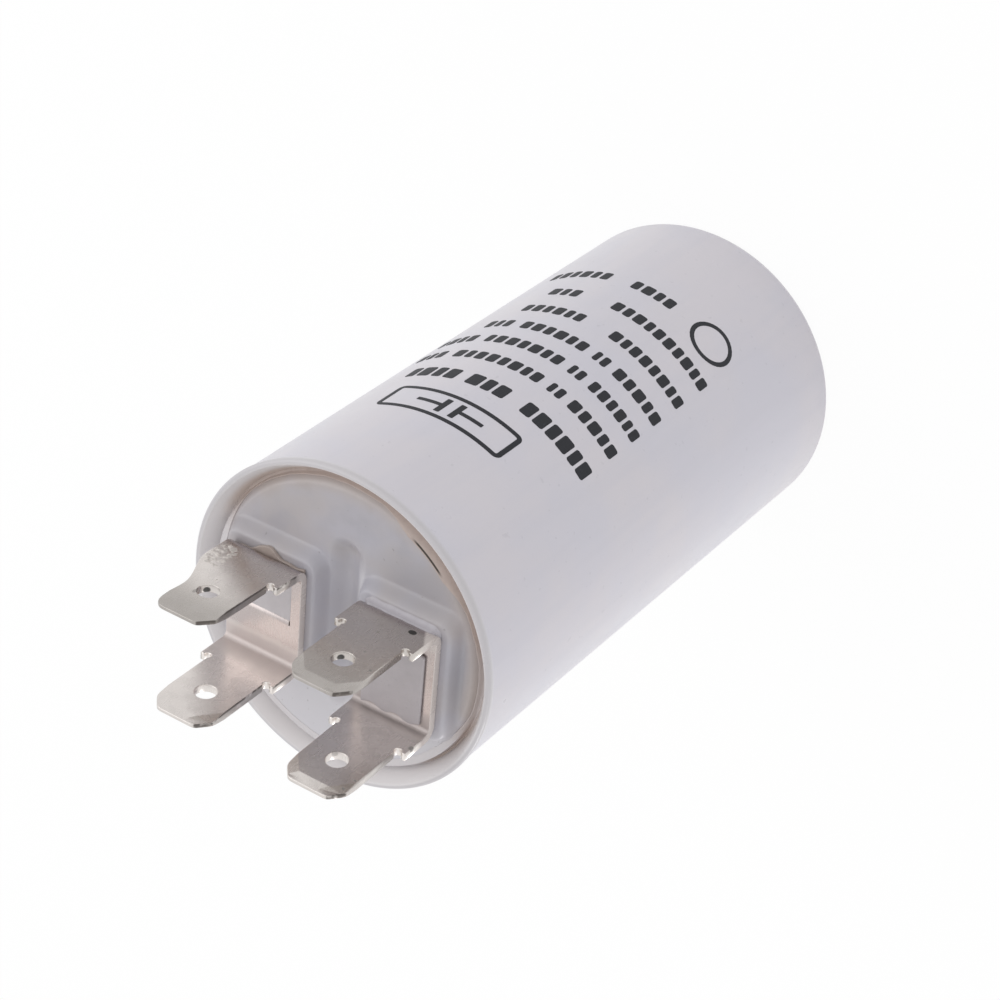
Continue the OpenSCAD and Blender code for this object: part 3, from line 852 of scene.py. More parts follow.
def printed_loop(bm, outline, line, film):
    """A closed line on the wall; outline gives a point and its inward direction at each step."""
    rings = []
    for along, up, inward, down in outline:
        inner = along + line * inward, up + line * down
        rings.append([
            on_wall(along, up, BURIED), on_wall(along, up, film),
            on_wall(*inner, film), on_wall(*inner, BURIED)])
    strip(bm, rings, closed=True)


def round_outline(begin, length, middle, height, corner):
    """Points and inward directions round a rectangle with round corners."""
    outline = []
    centres = [(length - corner, height / 2 - corner), (corner, height / 2 - corner),
               (corner, corner - height / 2), (length - corner, corner - height / 2)]
    for quarter, (along, up) in enumerate(centres):
        for turn in quarter_turns(8, first=90 * quarter):
            across, rise = math.cos(turn), math.sin(turn)
            outline.append((begin + along + corner * across, middle + up + corner * rise, -across, -rise))
        following = centres[(quarter + 1) % 4]
        count = round(abs(following[0] - along) / WALL_STEP)
        for i in range(1, count):
            share = i / count
            outline.append((
                begin + along + (following[0] - along) * share + corner * across,
                middle + up + corner * rise, -across, -rise))
    return outline


def printed_run(bm, begin, length, middle, height, look):
    """A run of upright blocks of uneven width that fills a length of a row."""
    gap = look.gap / MM
    widths = []
    while sum(widths) + gap * len(widths) < length:
        widths.append(height * BLOCK_SHARES[len(widths) % len(BLOCK_SHARES)])
    stretch = (length - gap * (len(widths) - 1)) / sum(widths)
    for width in widths:
        printed_bar(bm, begin, width * stretch, middle, height, look.corner / MM, look.film / MM)
        begin += width * stretch + gap


def printed_sign(bm, centre, middle, look):
    """The circuit sign of a capacitor: a lead, two plates and a lead."""
    film = look.film / MM
    corner = SIGN["corner"]
    for side in (-1, 1):
        plate = centre + side * SIGN["apart"] / 2
        printed_bar(bm, plate - SIGN["plate"] / 2, SIGN["plate"], middle, SIGN["plate_h"], corner, film)
        lead = plate + side * SIGN["lead"] / 2
        printed_bar(bm, lead - SIGN["lead"] / 2, SIGN["lead"], middle, SIGN["lead_h"], corner, film)


def print_mesh(look):
    """All the print on the wall: rows of plain blocks, a framed circuit sign and a plain ring."""
    bm = bmesh.new()
    film = look.film / MM
    first = look.start * CAN_R
    for middle, height, runs in PRINT_ROWS:
        begin = first
        for gap, length in runs:
            begin += gap
            printed_run(bm, begin, length, middle, height, look)
            begin += length
    box = FRAME_ROW
    left = first + box["begin"]
    frame_line = round_outline(left, box["length"], box["middle"], box["height"], box["corner"])
    printed_loop(bm, frame_line, box["line"], film)
    printed_sign(bm, left + box["length"] / 2, box["middle"], look)
    ring = RING_MARK
    outer = ring["outer"]
    left = first + ring["begin"] - outer
    ring_line = round_outline(left, 2 * outer, ring["middle"], 2 * outer, outer)
    printed_loop(bm, ring_line, ring["line"], film)
    return mesh_of(bm, "wall_print")


# How the lid's bevel falls towards its edge, as a power of the distance
BEVEL_CURVE = 1.6


def soft_share(value):
    """Eases a value between 0 and 1 and holds it outside."""
    value = min(1.0, max(0.0, value))
    return value * value * (3 - 2 * value)


def can_profile(look):
    """Radii and heights of the can's section, from the nub under its base round to its inner floor."""
    gate, nub = look.gate / MM, look.nub / MM
    depth = look.gate_depth / MM
    points = [(nub, depth - look.nub_h / MM), (nub, depth), (gate, depth), (gate, 0)]
    foot = look.foot / MM
    points += [(CAN_R - foot * (1 - math.sin(t)), foot * (1 - math.cos(t))) for t in quarter_turns(8)]
    lip = look.lip / MM
    lip_z = RIM_Z - lip
    mouth = CAN_R - look.mouth_wall / MM
    flare_z = RIM_Z - look.flare_from / MM
    lip_r = mouth + look.flare * (lip_z - flare_z) + lip * math.hypot(1, look.flare)
    swell = look.swell / MM
    for share in even_shares(8):
        radius = CAN_R + (lip_r + lip - CAN_R) * soft_share(share)
        points.append((radius, lip_z - swell * (1 - share)))
    last = math.pi - math.atan(look.flare)
    turns = [last * share for share in even_shares(12)[1:]]
    points += [(lip_r + lip * math.cos(t), lip_z + lip * math.sin(t)) for t in turns]
    bore = CAN_R - look.wall / MM
    ledge = RIM_Z - look.ledge / MM
    floor = look.floor / MM
    points += [(mouth, flare_z), (mouth, ledge), (bore, ledge)]
    inner = look.inner_foot / MM
    turns = quarter_turns(6)
    points += [(bore - inner * (1 - math.cos(t)), floor + inner * (1 - math.sin(t))) for t in turns]
    return points + [(nub, floor)]


def can_mesh(look):
    """The can, turned from its section."""
    bm = bmesh.new()
    turns = full_turns(360)
    rings = [[(r * math.cos(t), r * math.sin(t), z) for t in turns] for r, z in can_profile(look)]
    strip(bm, rings, closed=False)
    mesh = mesh_of(bm, "soft_can")
    mesh.shade_smooth()
    mesh.set_sharp_from_angle(angle=math.radians(35))
    return mesh


def lid_rise(look, centres, x, y):
    """Height of the lid's top above its flat face: soft platforms, the groove and the bevel."""
    rise = 0.0
    corner = look.platform_corner
    for centre in centres:
        across = abs(x - centre.x) - look.platform_w / 2 + corner
        along = abs(y - centre.y) - look.platform_l / 2 + corner
        off = math.hypot(max(across, 0), max(along, 0)) + min(max(across, along), 0) - corner
        side = min(1.0, max(0.0, 0.5 + (across - along) / (2 * corner)))
        foot = look.soft_foot + (look.soft_side - look.soft_foot) * side
        share = soft_share((foot - off) / (foot + look.soft_top))
        rise = max(rise, look.platform * share)
    off = math.hypot(x, max(abs(y) - look.groove_l / 2, 0)) / (look.groove_w / 2)
    dip = look.groove_depth * (1 - min(1, off / 1.2) ** 2) ** 2
    past = max(0.0, (math.hypot(x, y) - LID_R * MM) / look.bevel_w + 1)
    return (rise - dip) * (1 - past) - look.bevel_h * past ** BEVEL_CURVE


# How far the solids that hollow the lid out reach past it, in millimetres
CUT_PAST = 0.1


def prism(bm, outline, low, high):
    """An upright solid over a flat outline."""
    strip(bm, [[(x, y, height) for x, y in outline] for height in (low, high)], closed=False)


def lid_hollows(look, centres):
    """The hollows under the two platforms."""
    bm = bmesh.new()
    plate = look.under / MM
    wide, long = look.platform_w / MM - 2 * plate, look.platform_l / MM - 2 * plate
    low = WEB_Z - look.platform / MM - plate - CUT_PAST
    for centre in centres:
        x, y = centre.x / MM, centre.y / MM
        outline = round_outline(x - wide / 2, wide, y, long, look.platform_corner / MM / 2)
        prism(bm, [(along, up) for along, up, inward, down in outline], low, WEB_Z - plate)
    return mesh_of(bm, "hollows")


def lid_slots(look, sheet, centres):
    """The slots for the two tangs, the right one turned half round."""
    bm = bmesh.new()
    gap = look.slot_gap / MM
    half = sheet.window / MM / 2 + gap
    front = sheet.tang_front / MM + gap
    back = front - sheet.sheet / MM - 2 * gap
    for centre, turned in zip(centres, (1, -1)):
        x, y = centre.x / MM, centre.y / MM
        corners = ((-half, back), (half, back), (half, front), (-half, front))
        outline = [(x + turned * across, y + turned * along) for across, along in corners]
        prism(bm, outline, WEB_Z - look.under / MM - CUT_PAST, WEB_Z + CUT_PAST)
    return mesh_of(bm, "slots")


def cut_from(mesh, tool):
    """A mesh with another one taken out of it."""
    carrier, cutter = placed(mesh), placed(tool)
    cut = carrier.modifiers.new("cut", "BOOLEAN")
    cut.operation = "DIFFERENCE"
    cut.solver = "EXACT"
    cut.object = cutter
    return applied(carrier, cutter)


def lid_mesh(look, sheet):
    """The lid, with its soft platforms, groove and skirt, and its hollows and slots underneath."""
    bm = bmesh.new()
    centres = [sum(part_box(node), Vector()) / 2 for node in ("terminal_left", "terminal_right")]
    face = WEB_Z - look.platform / MM
    steps = 96
    turns = full_turns(480)
    rings = []
    for j in range(1, steps + 1):
        radius = LID_R * j / steps
        ring = []
        for turn in turns:
            x, y = radius * math.cos(turn), radius * math.sin(turn)
            ring.append((x, y, face + lid_rise(look, centres, x * MM, y * MM) / MM))
        rings.append(ring)
    under = face - look.under / MM
    seat = under - look.skirt / MM
    inner = 1 - look.skirt_t / MM / LID_R
    edge = rings[-1]
    for share, height in ((1, seat), (inner, seat), (inner, under), (1 / steps, under)):
        rings.append([(x * share, y * share, height) for x, y, z in edge])
    strip(bm, rings, closed=False)
    mesh = mesh_of(bm, "lid_body")
    mesh.shade_smooth()
    mesh = cut_from(mesh, lid_hollows(look, centres))
    mesh = cut_from(mesh, lid_slots(look, sheet, centres))
    mesh.set_sharp_from_angle(angle=math.radians(60))
    mesh.name = "soft_lid"
    return mesh


def spread(angle, middle, half):
    """A soft share, 1 at an angle round the axis and 0 beyond a distance from it."""
    away = abs((angle - middle + math.pi) % math.tau - math.pi)
    return soft_share(1 - away / half)


# Sealant: share of its cover away from the thick stretch, half width of that stretch and of its
# middle, what the middle adds, what the ripple adds, the least cover, and on the far side how much
# lower it climbs and how much of the bevel's depth it fills
SEAL_RUN = dict(
    thin=0.4, stretch=math.radians(100), middle=math.radians(26), over=0.95, ripple=0.1, least=0.15,
    low_climb=0.4, filling=0.85)


def seal_section(look, lid, flare, turn):
    """Radii and heights of the sealant's section at an angle round the axis."""
    run = SEAL_RUN
    across, up = math.cos(turn), math.sin(turn)
    wave = noise.noise(Vector((across, up, 0)) * 3) + 0.6 * noise.noise(Vector((across, up, 1)) * 11)
    sunk = SINK_WAY[0] * LID_R * across + SINK_WAY[1] * LID_R * up - SINK_SPAN[0]
    filled = 1 - soft_share(sunk / (SINK_SPAN[1] - SINK_SPAN[0]))
    climb = (look.climb + look.wander * wave) / MM * (1 - run["low_climb"] * filled)
    cover = look.cover * (run["thin"] + (1 - run["thin"]) * spread(turn, look.near, run["stretch"]))
    cover += run["ripple"] * wave + run["over"] * spread(turn, look.near, run["middle"])
    cover = min(1.0, max(run["least"], cover))
    cover += (1 - cover) * filled
    face = WEB_Z - lid.platform / MM
    wide, high = lid.bevel_w / MM, lid.bevel_h / MM
    foot = face - high
    depth = high * (1 - run["filling"] * filled)
    covered = [cover * share for share in even_shares(4)]
    bevel = [(LID_R - wide * k, face - depth * (1 - k) ** BEVEL_CURVE) for k in covered]
    edge_r, edge_z = bevel[-1]
    wall_r = LID_R + look.gap / MM
    skin = look.skin / MM
    gap = [(LID_R, SEAL_LOW), (wall_r, SEAL_LOW), (wall_r, foot)]
    hollow = [
        (wall_r + flare * climb + 0.03, foot + climb),
        (wall_r + 0.4 * flare * climb, foot + 0.62 * climb),
        (LID_R + 0.05, foot + 0.45 * climb)]
    over_bevel = [(r + 0.6 * skin, z + 0.8 * skin) for r, z in bevel[1:]]
    if cover >= 1:
        end = [(edge_r - 0.05, face + skin), (edge_r - 0.14, face + 0.5 * skin)]
    else:
        end = [(edge_r - 0.02, edge_z + skin), (edge_r - 0.05, edge_z + 0.3 * skin)]
    inside_lid = [(edge_r - 0.1, edge_z - 0.15), (LID_R - 0.12, foot - 0.05)]
    return gap + hollow + over_bevel + end + inside_lid


def seal_mesh(look, lid, flare):
    """The sealant all round: hollow between bevel and wall, and up over the bevel on one stretch."""
    bm = bmesh.new()
    rings = []
    for turn in full_turns(360):
        section = seal_section(look, lid, flare, turn)
        rings.append([(r * math.cos(turn), r * math.sin(turn), z) for r, z in section])
    strip(bm, rings, closed=True)
    mesh = mesh_of(bm, "seal_line")
    mesh.shade_smooth()
    mesh.set_sharp_from_angle(angle=math.radians(40))
    return mesh


def eased(before, corner, after, reach, steps=5):
    """Points of a soft corner that begins and ends at that distance from the sharp one."""
    before, corner, after = Vector(before), Vector(corner), Vector(after)
    start = corner + (before - corner).normalized() * reach
    end = corner + (after - corner).normalized() * reach
    curve = [(1 - t) ** 2 * start + 2 * t * (1 - t) * corner + t * t * end for t in even_shares(steps)]
    return [tuple(point) for point in curve]


# Left side of the upper left blade: heights above the web's underside of its foot, waist and
# top, its half width at the waist and how much it widens above, in millimetres
EDGE_FOOT, EDGE_WAIST, EDGE_TOP = 3.7, 9.0, 12.0
EDGE_HALF, EDGE_SWELL = 2.42, 0.2


def swept_half(half_base, height):
    """Half width of the upper left blade on its left side, at a height above the web's underside."""
    dip = soft_share((height - EDGE_FOOT) / (EDGE_WAIST - EDGE_FOOT))
    swell = soft_share((height - EDGE_WAIST) / (EDGE_TOP - EDGE_WAIST))
    return half_base - (half_base - EDGE_HALF) * dip + EDGE_SWELL * swell


class Blank:
    """The flat sheet of one terminal, in millimetres: x across it, s along it from its middle."""

    def __init__(self, look, low, high):
        self.look = look
        self.sheet = look.sheet / MM
        self.bend = look.bend / MM
        self.half_base = (high.x - low.x) / 2
        self.half_tab = look.tab / MM / 2
        self.outer = self.bend + self.sheet
        self.neutral = self.bend + self.sheet / 2
        self.flat = (high.y - low.y) / 2 - self.outer
        self.fold = self.flat + self.neutral * math.pi / 2
        self.tip = self.up(high.z - WEB_Z)
        self.tang_back = look.tang_front / MM - self.sheet
        self.tang_fold = self.tang_back + self.sheet / 2 * math.pi / 2
        self.tang_tip = self.tang_fold + WEB_Z - low.z
        self.half_window = look.window / MM / 2
        self.slit = look.slit / MM

    def up(self, height):
        """Place along the sheet of a height on a blade."""
        return self.fold + height - self.outer

    def shoulder(self):
        """Outline from the base's edge to the tab's edge: a step with a round relief."""
        height = self.up(self.look.shoulder / MM)
        radius = self.look.relief / MM
        points = [(self.half_base, height)]
        for i in range(13):
            turn = math.radians(-240 * i / 12)
            points.append((
                self.half_tab + radius / 2 + radius * math.cos(turn), height + radius * math.sin(turn)))
        return points

    def bent_in_edge(self):
        """Outline of the upper left blade's left side, from the base's edge to the middle of its tip."""
        points = [(self.half_base, self.up(EDGE_FOOT))]
        for i in range(1, 17):
            height = EDGE_FOOT + (EDGE_TOP - EDGE_FOOT) * i / 16
            points.append((swept_half(self.half_base, height), self.up(height)))
        last = points.pop()
        corner = (last[0], self.tip)
        return points + eased(points[-1], corner, (0, self.tip), self.tip - points[-1][1], steps=8)

    def quarter(self, shoulder):
        """Outline from the side of the web round to the middle of a tip."""
        low = (self.half_tab, self.tip - self.look.chamfer_h / MM)
        high = (self.half_tab - self.look.chamfer_w / MM, self.tip)
        reach = self.look.corner / MM
        points = list(shoulder)
        points += eased((self.half_tab, 0), low, high, reach)
        points += eased(low, high, (0, self.tip), reach)
        return points

    def loops(self, swept):
        """The outline, the two detent holes and the slit that frees the tang."""
        plain = self.quarter(self.shoulder())
        left = self.bent_in_edge() if swept else plain
        outline = plain + [(-x, s) for x, s in reversed(left)]
        outline += [(-x, -s) for x, s in plain]
        outline += [(x, -s) for x, s in reversed(plain)]
        radius = self.look.hole / MM / 2
        place = self.up(self.look.hole_up / MM)
        hole = [(radius * math.cos(t), radius * math.sin(t)) for t in full_turns(48)]
        holes = [[(x, side * place + s) for x, s in hole] for side in (-1, 1)]
        return [outline, *holes, self.slit_loop()]

    def slit_loop(self):
        """The slit round three sides of the tang, with round corners next to the bend."""
        corner = self.look.window_corner / MM
        wide = self.half_window
        narrow = wide - self.slit
        side = [(wide, self.tang_back)]
        for turn in quarter_turns(8):
            across, along = corner * math.cos(turn), corner * math.sin(turn)
            side.append((wide - corner + across, self.flat - corner + along))
        loop = side + [(-x, s) for x, s in reversed(side)]
        loop += [(-narrow, self.tang_back), (-narrow, self.tang_tip)]
        loop += [(narrow, self.tang_tip), (narrow, self.tang_back)]
        return loop

    def cuts(self):
        """Planes where the sheet needs an edge, so that it folds and thins as it should."""
        bends = [self.flat + (self.fold - self.flat) * share for share in even_shares(10)]
        tang = [self.tang_back + (self.tang_fold - self.tang_back) * share for share in even_shares(6)]
        thinned = self.tip - self.look.bevel_l / MM
        places = [side * place for place in bends + [thinned] for side in (-1, 1)] + tang
        cuts = [((0, place, 0), (0, 1, 0)) for place in places]
        for right in (-1, 1):
            for top in (-1, 1):
                across = Vector((right * self.look.chamfer_h, top * self.look.chamfer_w, 0)).normalized()
                corner = Vector((right * self.half_tab, top * (self.tip - self.look.chamfer_h / MM), 0))
                cuts.append((corner - across * self.look.bevel_l / MM, across))
        return cuts

    def to_tip(self, x, s):
        """Distance inside a tip's outline, from its end or its corner chamfers."""
        rise, run = self.look.chamfer_h / MM, self.look.chamfer_w / MM
        corner = (self.half_tab - abs(x)) * rise + (self.tip - rise - abs(s)) * run
        return max(0.0, min(self.tip - abs(s), corner / math.hypot(rise, run)))

    def bends(self, x, s):
        """Whether the sheet is bent at a place."""
        if self.is_tang(x, s):
            return s < self.tang_fold
        return self.flat < abs(s) < self.fold

    def is_tang(self, x, s):
        """Whether a place belongs to the tang."""
        return abs(x) < self.half_window - self.slit / 2 and self.tang_back < s < self.tang_tip + self.slit

    def folded(self, x, s, out, leans):
        """Where a point of the flat sheet goes; out is its height towards the fold's outside."""
        if self.is_tang(x, s):
            radius = self.sheet / 2 - out
            if s < self.tang_fold:
                turn = (s - self.tang_back) / (self.sheet / 2)
                return x, self.tang_back + radius * math.sin(turn), radius * math.cos(turn)
            return x, self.tang_back + radius, self.tang_fold - s
        side = 1 if s > 0 else -1
        along = abs(s)
        if along <= self.flat:
            return x, s, self.sheet / 2 - out
        if along > self.fold:
            thinned = max(0.0, 1 - self.to_tip(x, s) / (self.look.bevel_l / MM))
            out *= 1 - (1 - self.look.bevel_t / self.look.sheet) * thinned
        radius = self.neutral + out
        if along <= self.fold:
            turn = (along - self.flat) / self.neutral
            return x, side * (self.flat + radius * math.sin(turn)), self.outer - radius * math.cos(turn)
        height = along - self.fold
        reach = self.flat + radius + height * math.tan(leans[side])
        return x, side * reach, self.outer + height


def sheet_mesh(name, look, node, turned, leans):
    """One terminal: its blank with rounded edges, cut where it bends, folded and set in place."""
    low, high = (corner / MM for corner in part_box(node))
    blank = Blank(look, low, high)
    edge = look.edge / MM
    curve = bpy.data.curves.new(name, "CURVE")
    curve.dimensions = "2D"
    curve.fill_mode = "BOTH"
    curve.extrude = blank.sheet / 2 - edge
    curve.bevel_depth = edge
    curve.bevel_resolution = 2
    curve.offset = -edge
    for loop in blank.loops(swept=not turned):
        spline = curve.splines.new("POLY")
        spline.points.add(len(loop) - 1)
        for point, (x, s) in zip(spline.points, loop):
            point.co = (x, s, 0, 1)
        spline.use_cyclic_u = True
    flat = bpy.data.objects.new(name, curve)
    bm = bmesh.new()
    bm.from_mesh(flat.to_mesh())
    bpy.data.objects.remove(flat)
    bmesh.ops.remove_doubles(bm, verts=bm.verts, dist=1e-4)
    for point, across in blank.cuts():
        everything = bm.verts[:] + bm.edges[:] + bm.faces[:]
        bmesh.ops.bisect_plane(bm, geom=everything, dist=1e-5, plane_co=point, plane_no=across)
    bm.normal_update()
    for face in bm.faces:
        centre = face.calc_center_median()
        face.smooth = abs(face.normal.z) < 0.999 or blank.bends(centre.x, centre.y)
    middle = (low + high) / 2
    spin = -1 if turned else 1
    for vert in bm.verts:
        x, y, z = blank.folded(vert.co.x, vert.co.y, -vert.co.z, leans)
        vert.co = (middle.x + spin * x, middle.y + spin * y, WEB_Z + z)
    return mesh_of(bm, name)


# Resin under the right terminal's upper bend: how far it reaches out and up, its distance inside the
# web's ends, how deep it is sunk, how far it goes under the bend, in millimetres, and the angle round
# the bend at which it ends there
ROOT = dict(reach=0.35, rise=0.75, inset=0.1, sunk=0.02, under=0.5, tuck=1.25)
# Lumpy tin on the upper left blade: its right end, middle height, half height, distance inside the
# blade's edge, how high it stands, how deep its hollows and its back are sunk, in millimetres
TIN_LUMPS = dict(right=-8.9, up=65.8, half_up=2.1, inset=0.08, high=0.08, sunk=0.03, buried=0.2, steps=44)


def lumps_mesh(look):
    """Lumpy tin on the outer face of the upper left blade, near its swept edge."""
    bm = bmesh.new()
    box = TIN_LUMPS
    low, high = (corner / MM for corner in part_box("terminal_left"))
    middle, half_base = (low.x + high.x) / 2, (high.x - low.x) / 2
    fold = WEB_Z + (look.bend + look.sheet) / MM
    rows = []
    for j in range(box["steps"] + 1):
        up = 2 * j / box["steps"] - 1
        z = box["up"] + box["half_up"] * up
        y = high.y + max(0, z - fold) * math.tan(look.lean_left)
        left = middle - swept_half(half_base, z - WEB_Z) + box["inset"]
        wide = box["right"] - left
        row = []
        for i in range(box["steps"] + 1):
            across = 2 * i / box["steps"] - 1
            x = left + wide * i / box["steps"]
            inside = max(0.0, 1 - across * across) * max(0.0, 1 - up * up)
            lump = 0.5 + noise.noise(Vector((x, 0, z)) * 2.2) + 0.4 * noise.noise(Vector((x, 3, z)) * 4.5)
            rise = box["high"] * min(1.0, 3 * inside) * lump - box["sunk"]
            row.append((Vector((x, y + rise, z)), Vector((x, y - box["buried"], z))))
        rows.append(row)
    fronts = [[bm.verts.new(front) for front, back in row] for row in rows]
    backs = [[bm.verts.new(back) for front, back in row] for row in rows]
    last = box["steps"]
    for j in range(last):
        for i in range(last):
            for sheet in (fronts, backs):
                bm.faces.new((sheet[j][i], sheet[j][i + 1], sheet[j + 1][i + 1], sheet[j + 1][i]))
    for k in range(last):
        for side in (0, last):
            bm.faces.new((fronts[side][k], fronts[side][k + 1], backs[side][k + 1], backs[side][k]))
            bm.faces.new((fronts[k][side], fronts[k + 1][side], backs[k + 1][side], backs[k][side]))
    mesh = mesh_of(bm, "rough_tin")
    mesh.shade_smooth()
    return mesh


def root_mesh(look):
    """Fillet of resin under the right terminal's upper bend, along the whole of its root."""
    bm = bmesh.new()
    low, high = (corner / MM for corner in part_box("terminal_right"))
    radius = (look.bend + look.sheet) / MM
    axis = Vector((high.y - radius, WEB_Z + radius))
    bottom = WEB_Z - ROOT["sunk"]
    rings = []
    for share in even_shares(60):
        x = low.x + ROOT["inset"] + (high.x - low.x - 2 * ROOT["inset"]) * share
        swell = min(1.0, 12 * share * (1 - share)) * (1 + 0.35 * noise.noise(Vector((x * 0.9, 0, 0))))
        rise = ROOT["rise"] * (0.25 + 0.75 * swell)
        turns = (math.asin(1 - rise / radius), ROOT["tuck"])
        touch, tucked = ((axis.x + radius * math.cos(t), axis.y - radius * math.sin(t)) for t in turns)
        foot = (axis.x + radius + ROOT["reach"] * swell, bottom)
        out, down = foot[0] - touch[0], foot[1] - touch[1]
        shares = even_shares(5)[1:-1]
        hollow = [(touch[0] + out * k ** 2, touch[1] + down * (1 - (1 - k) ** 2)) for k in shares]
        section = [touch, *hollow, foot, (axis.x + ROOT["under"], bottom), tucked]
        rings.append([(x, y, z) for y, z in section])
    strip(bm, rings, closed=False)
    mesh = mesh_of(bm, "root_resin")
    mesh.shade_smooth()
    return mesh


def soft_copy(node, name, look):
    """A node's solid with its edges softened, as set resin has them."""
    bm = bmesh.new()
    bm.from_mesh(frame["nodes"][node].data)
    bmesh.ops.remove_doubles(bm, verts=bm.verts, dist=1e-6)
    rough = bpy.data.meshes.new(name)
    bm.to_mesh(rough)
    bm.free()
    carrier = placed(rough)
    voxels = carrier.modifiers.new("voxels", "REMESH")
    voxels.mode = "VOXEL"
    voxels.voxel_size = look.voxel
    voxels.use_smooth_shade = True
    soft = carrier.modifiers.new("soft", "SMOOTH")
    soft.factor = 0.5
    soft.iterations = look.passes
    mesh = applied(carrier)
    mesh.name = name
    return mesh


# Operators


class CAPACITOR_OT_can(Operator):
    """Mould the can with its swollen rim"""

    bl_idname = "capacitor.can"
    bl_label = "Can"

    def execute(self, context):
        look = context.scene.capacitor.can
        add_piece("soft_can", can_mesh(look), can_plastic(look), "can_plastic", "can")
        return {"FINISHED"}


class CAPACITOR_OT_wall_print(Operator):
    """Print plain rows on the wall of the can"""

    bl_idname = "capacitor.wall_print"
    bl_label = "Wall print"

    def execute(self, context):
        look = context.scene.capacitor.wall_print
        add_piece("wall_print", print_mesh(look), printed_ink(look), "ink")
        return {"FINISHED"}


class CAPACITOR_OT_lid(Operator):
    """Mould the lid with its soft platforms"""

    bl_idname = "capacitor.lid"
    bl_label = "Lid"

    def execute(self, context):
        look = context.scene.capacitor.lid
        sheet = context.scene.capacitor.terminals
        add_piece("soft_lid", lid_mesh(look, sheet), lid_plastic(look), "lid_plastic", "lid")
        return {"FINISHED"}


class CAPACITOR_OT_seal(Operator):
    """Lay the bead of sealant between lid and wall"""

    bl_idname = "capacitor.seal"
    bl_label = "Seal"

    def execute(self, context):
        look = context.scene.capacitor.seal
        lid = context.scene.capacitor.lid
        flare = context.scene.capacitor.can.flare
        add_piece("seal_line", seal_mesh(look, lid, flare), seal_brown(look, lid), "sealant", "seal_bead")
        return {"FINISHED"}


class CAPACITOR_OT_terminals(Operator):
    """Fold the two sheet terminals"""

    bl_idname = "capacitor.terminals"
    bl_label = "Terminals"

    def execute(self, context):
        look = context.scene.capacitor.terminals
        tin = tinned_sheet(look)
        for side, turned, lean in (("left", False, look.lean_left), ("right", True, look.lean_right)):
            name = "sheet_" + side
            node = "terminal_" + side
            mesh = sheet_mesh(name, look, node, turned, {1: lean, -1: 0})
            add_piece(name, mesh, tin, "tinned_sheet", node)
        add_piece("rough_tin", lumps_mesh(look), rough_tin(look), "tinned_sheet")
        return {"FINISHED"}


class CAPACITOR_OT_resin(Operator):
    """Soften the resin round the terminals"""

    bl_idname = "capacitor.resin"
    bl_label = "Resin"

    def execute(self, context):
        look = context.scene.capacitor.resin
        for side, colour in (("left", look.brown), ("right", look.pale)):
            node = "resin_smear_" + side
            name = "soft_resin_" + side
            add_piece(name, soft_copy(node, name, look), set_resin(name, colour), "resin", node)
        finish_node("resin_fill_left", set_resin("resin_fill", look.fill))
        terminals = context.scene.capacitor.terminals
        add_piece("root_resin", root_mesh(terminals), set_resin("root_resin", look.root), "resin")
        return {"FINISHED"}


# Finish of each inner piece: metal share, roughness, size and depth of its grain, and its run
INNER_PIECES = {
    "potting_resin": (0, 0.35, 1.2, 0.05, (1, 1, 1)),
    "film_winding": (0.6, 0.3, 0.12, 0.02, (40, 40, 1)),
    "winding_core": (0, 0.4, 0.3, 0.01, (1, 1, 6)),
    "outer_wrap": (0, 0.2, 1.5, 0.02, (1, 1, 8)),
    "end_spray_upper": (0.9, 0.65, 0.12, 0.06, (1, 1, 1)),
    "end_spray_lower": (0.9, 0.65, 0.12, 0.06, (1, 1, 1)),
    "lead_left": (1, 0.25, 0.1, 0.01, (1, 1, 10)),
    "lead_right": (1, 0.25, 0.1, 0.01, (1, 1, 10)),
    "sleeve_left": (0, 0.4, 0.2, 0.01, (1, 1, 6)),
    "sleeve_right": (0, 0.4, 0.2, 0.01, (1, 1, 6)),
    "solder_joints": (1, 0.22, 0.6, 0.03, (1, 1, 1)),
}


class CAPACITOR_OT_inside(Operator):
    """Finish the winding, the leads and the resin inside the can"""

    bl_idname = "capacitor.inside"
    bl_label = "Inside"

    def execute(self, context):
        record = frame["record"]
        slots = {row["node"]: row["material_slot"] for row in record["subparts"]}
        colours = {row["slot"]: row["base_color"] for row in record["materials"]}
        for node, (metallic, rough, grain, depth, run) in INNER_PIECES.items():
            colour = colours[slots[node]][:3]
            finish_node(node, inner_finish(node, colour, metallic, rough, grain, depth, run))
        return {"FINISHED"}


def camera_turn(look):
    """The camera's rotation from its two angles and its roll."""
    facing = look.azimuth - math.pi / 2
    back = Vector((
        math.cos(look.elevation) * math.cos(facing),
        math.cos(look.elevation) * math.sin(facing),
        math.sin(look.elevation)))
    turn = back.to_track_quat("Z", "Y").to_matrix()
    return back, turn @ Matrix.Rotation(look.roll, 3, "Z")


def add_camera(look):
    """The camera, which looks at the part from its terminal end."""
    camera = bpy.data.objects.new("camera", bpy.data.cameras.new("camera"))
    camera.data.lens = look.lens
    camera.data.sensor_width = look.sensor
    camera.data.sensor_fit = "HORIZONTAL"
    camera.data.clip_start = 10 * MM
    back, turn = camera_turn(look)
    camera.matrix_world = Matrix.Translation(Vector(look.aim) + look.distance * back) @ turn.to_4x4()
    bpy.context.scene.collection.objects.link(camera)
    bpy.context.scene.camera = camera


def seen_rays(s):
    """1 for rays that show a thing to the camera, straight, mirrored or through glass."""
    path = s.add("ShaderNodeLightPath", output="Is Camera Ray")
    rays = path + path.other("Is Glossy Ray") + path.other("Is Transmission Ray")
    return s.math("MINIMUM", rays, 1.0)


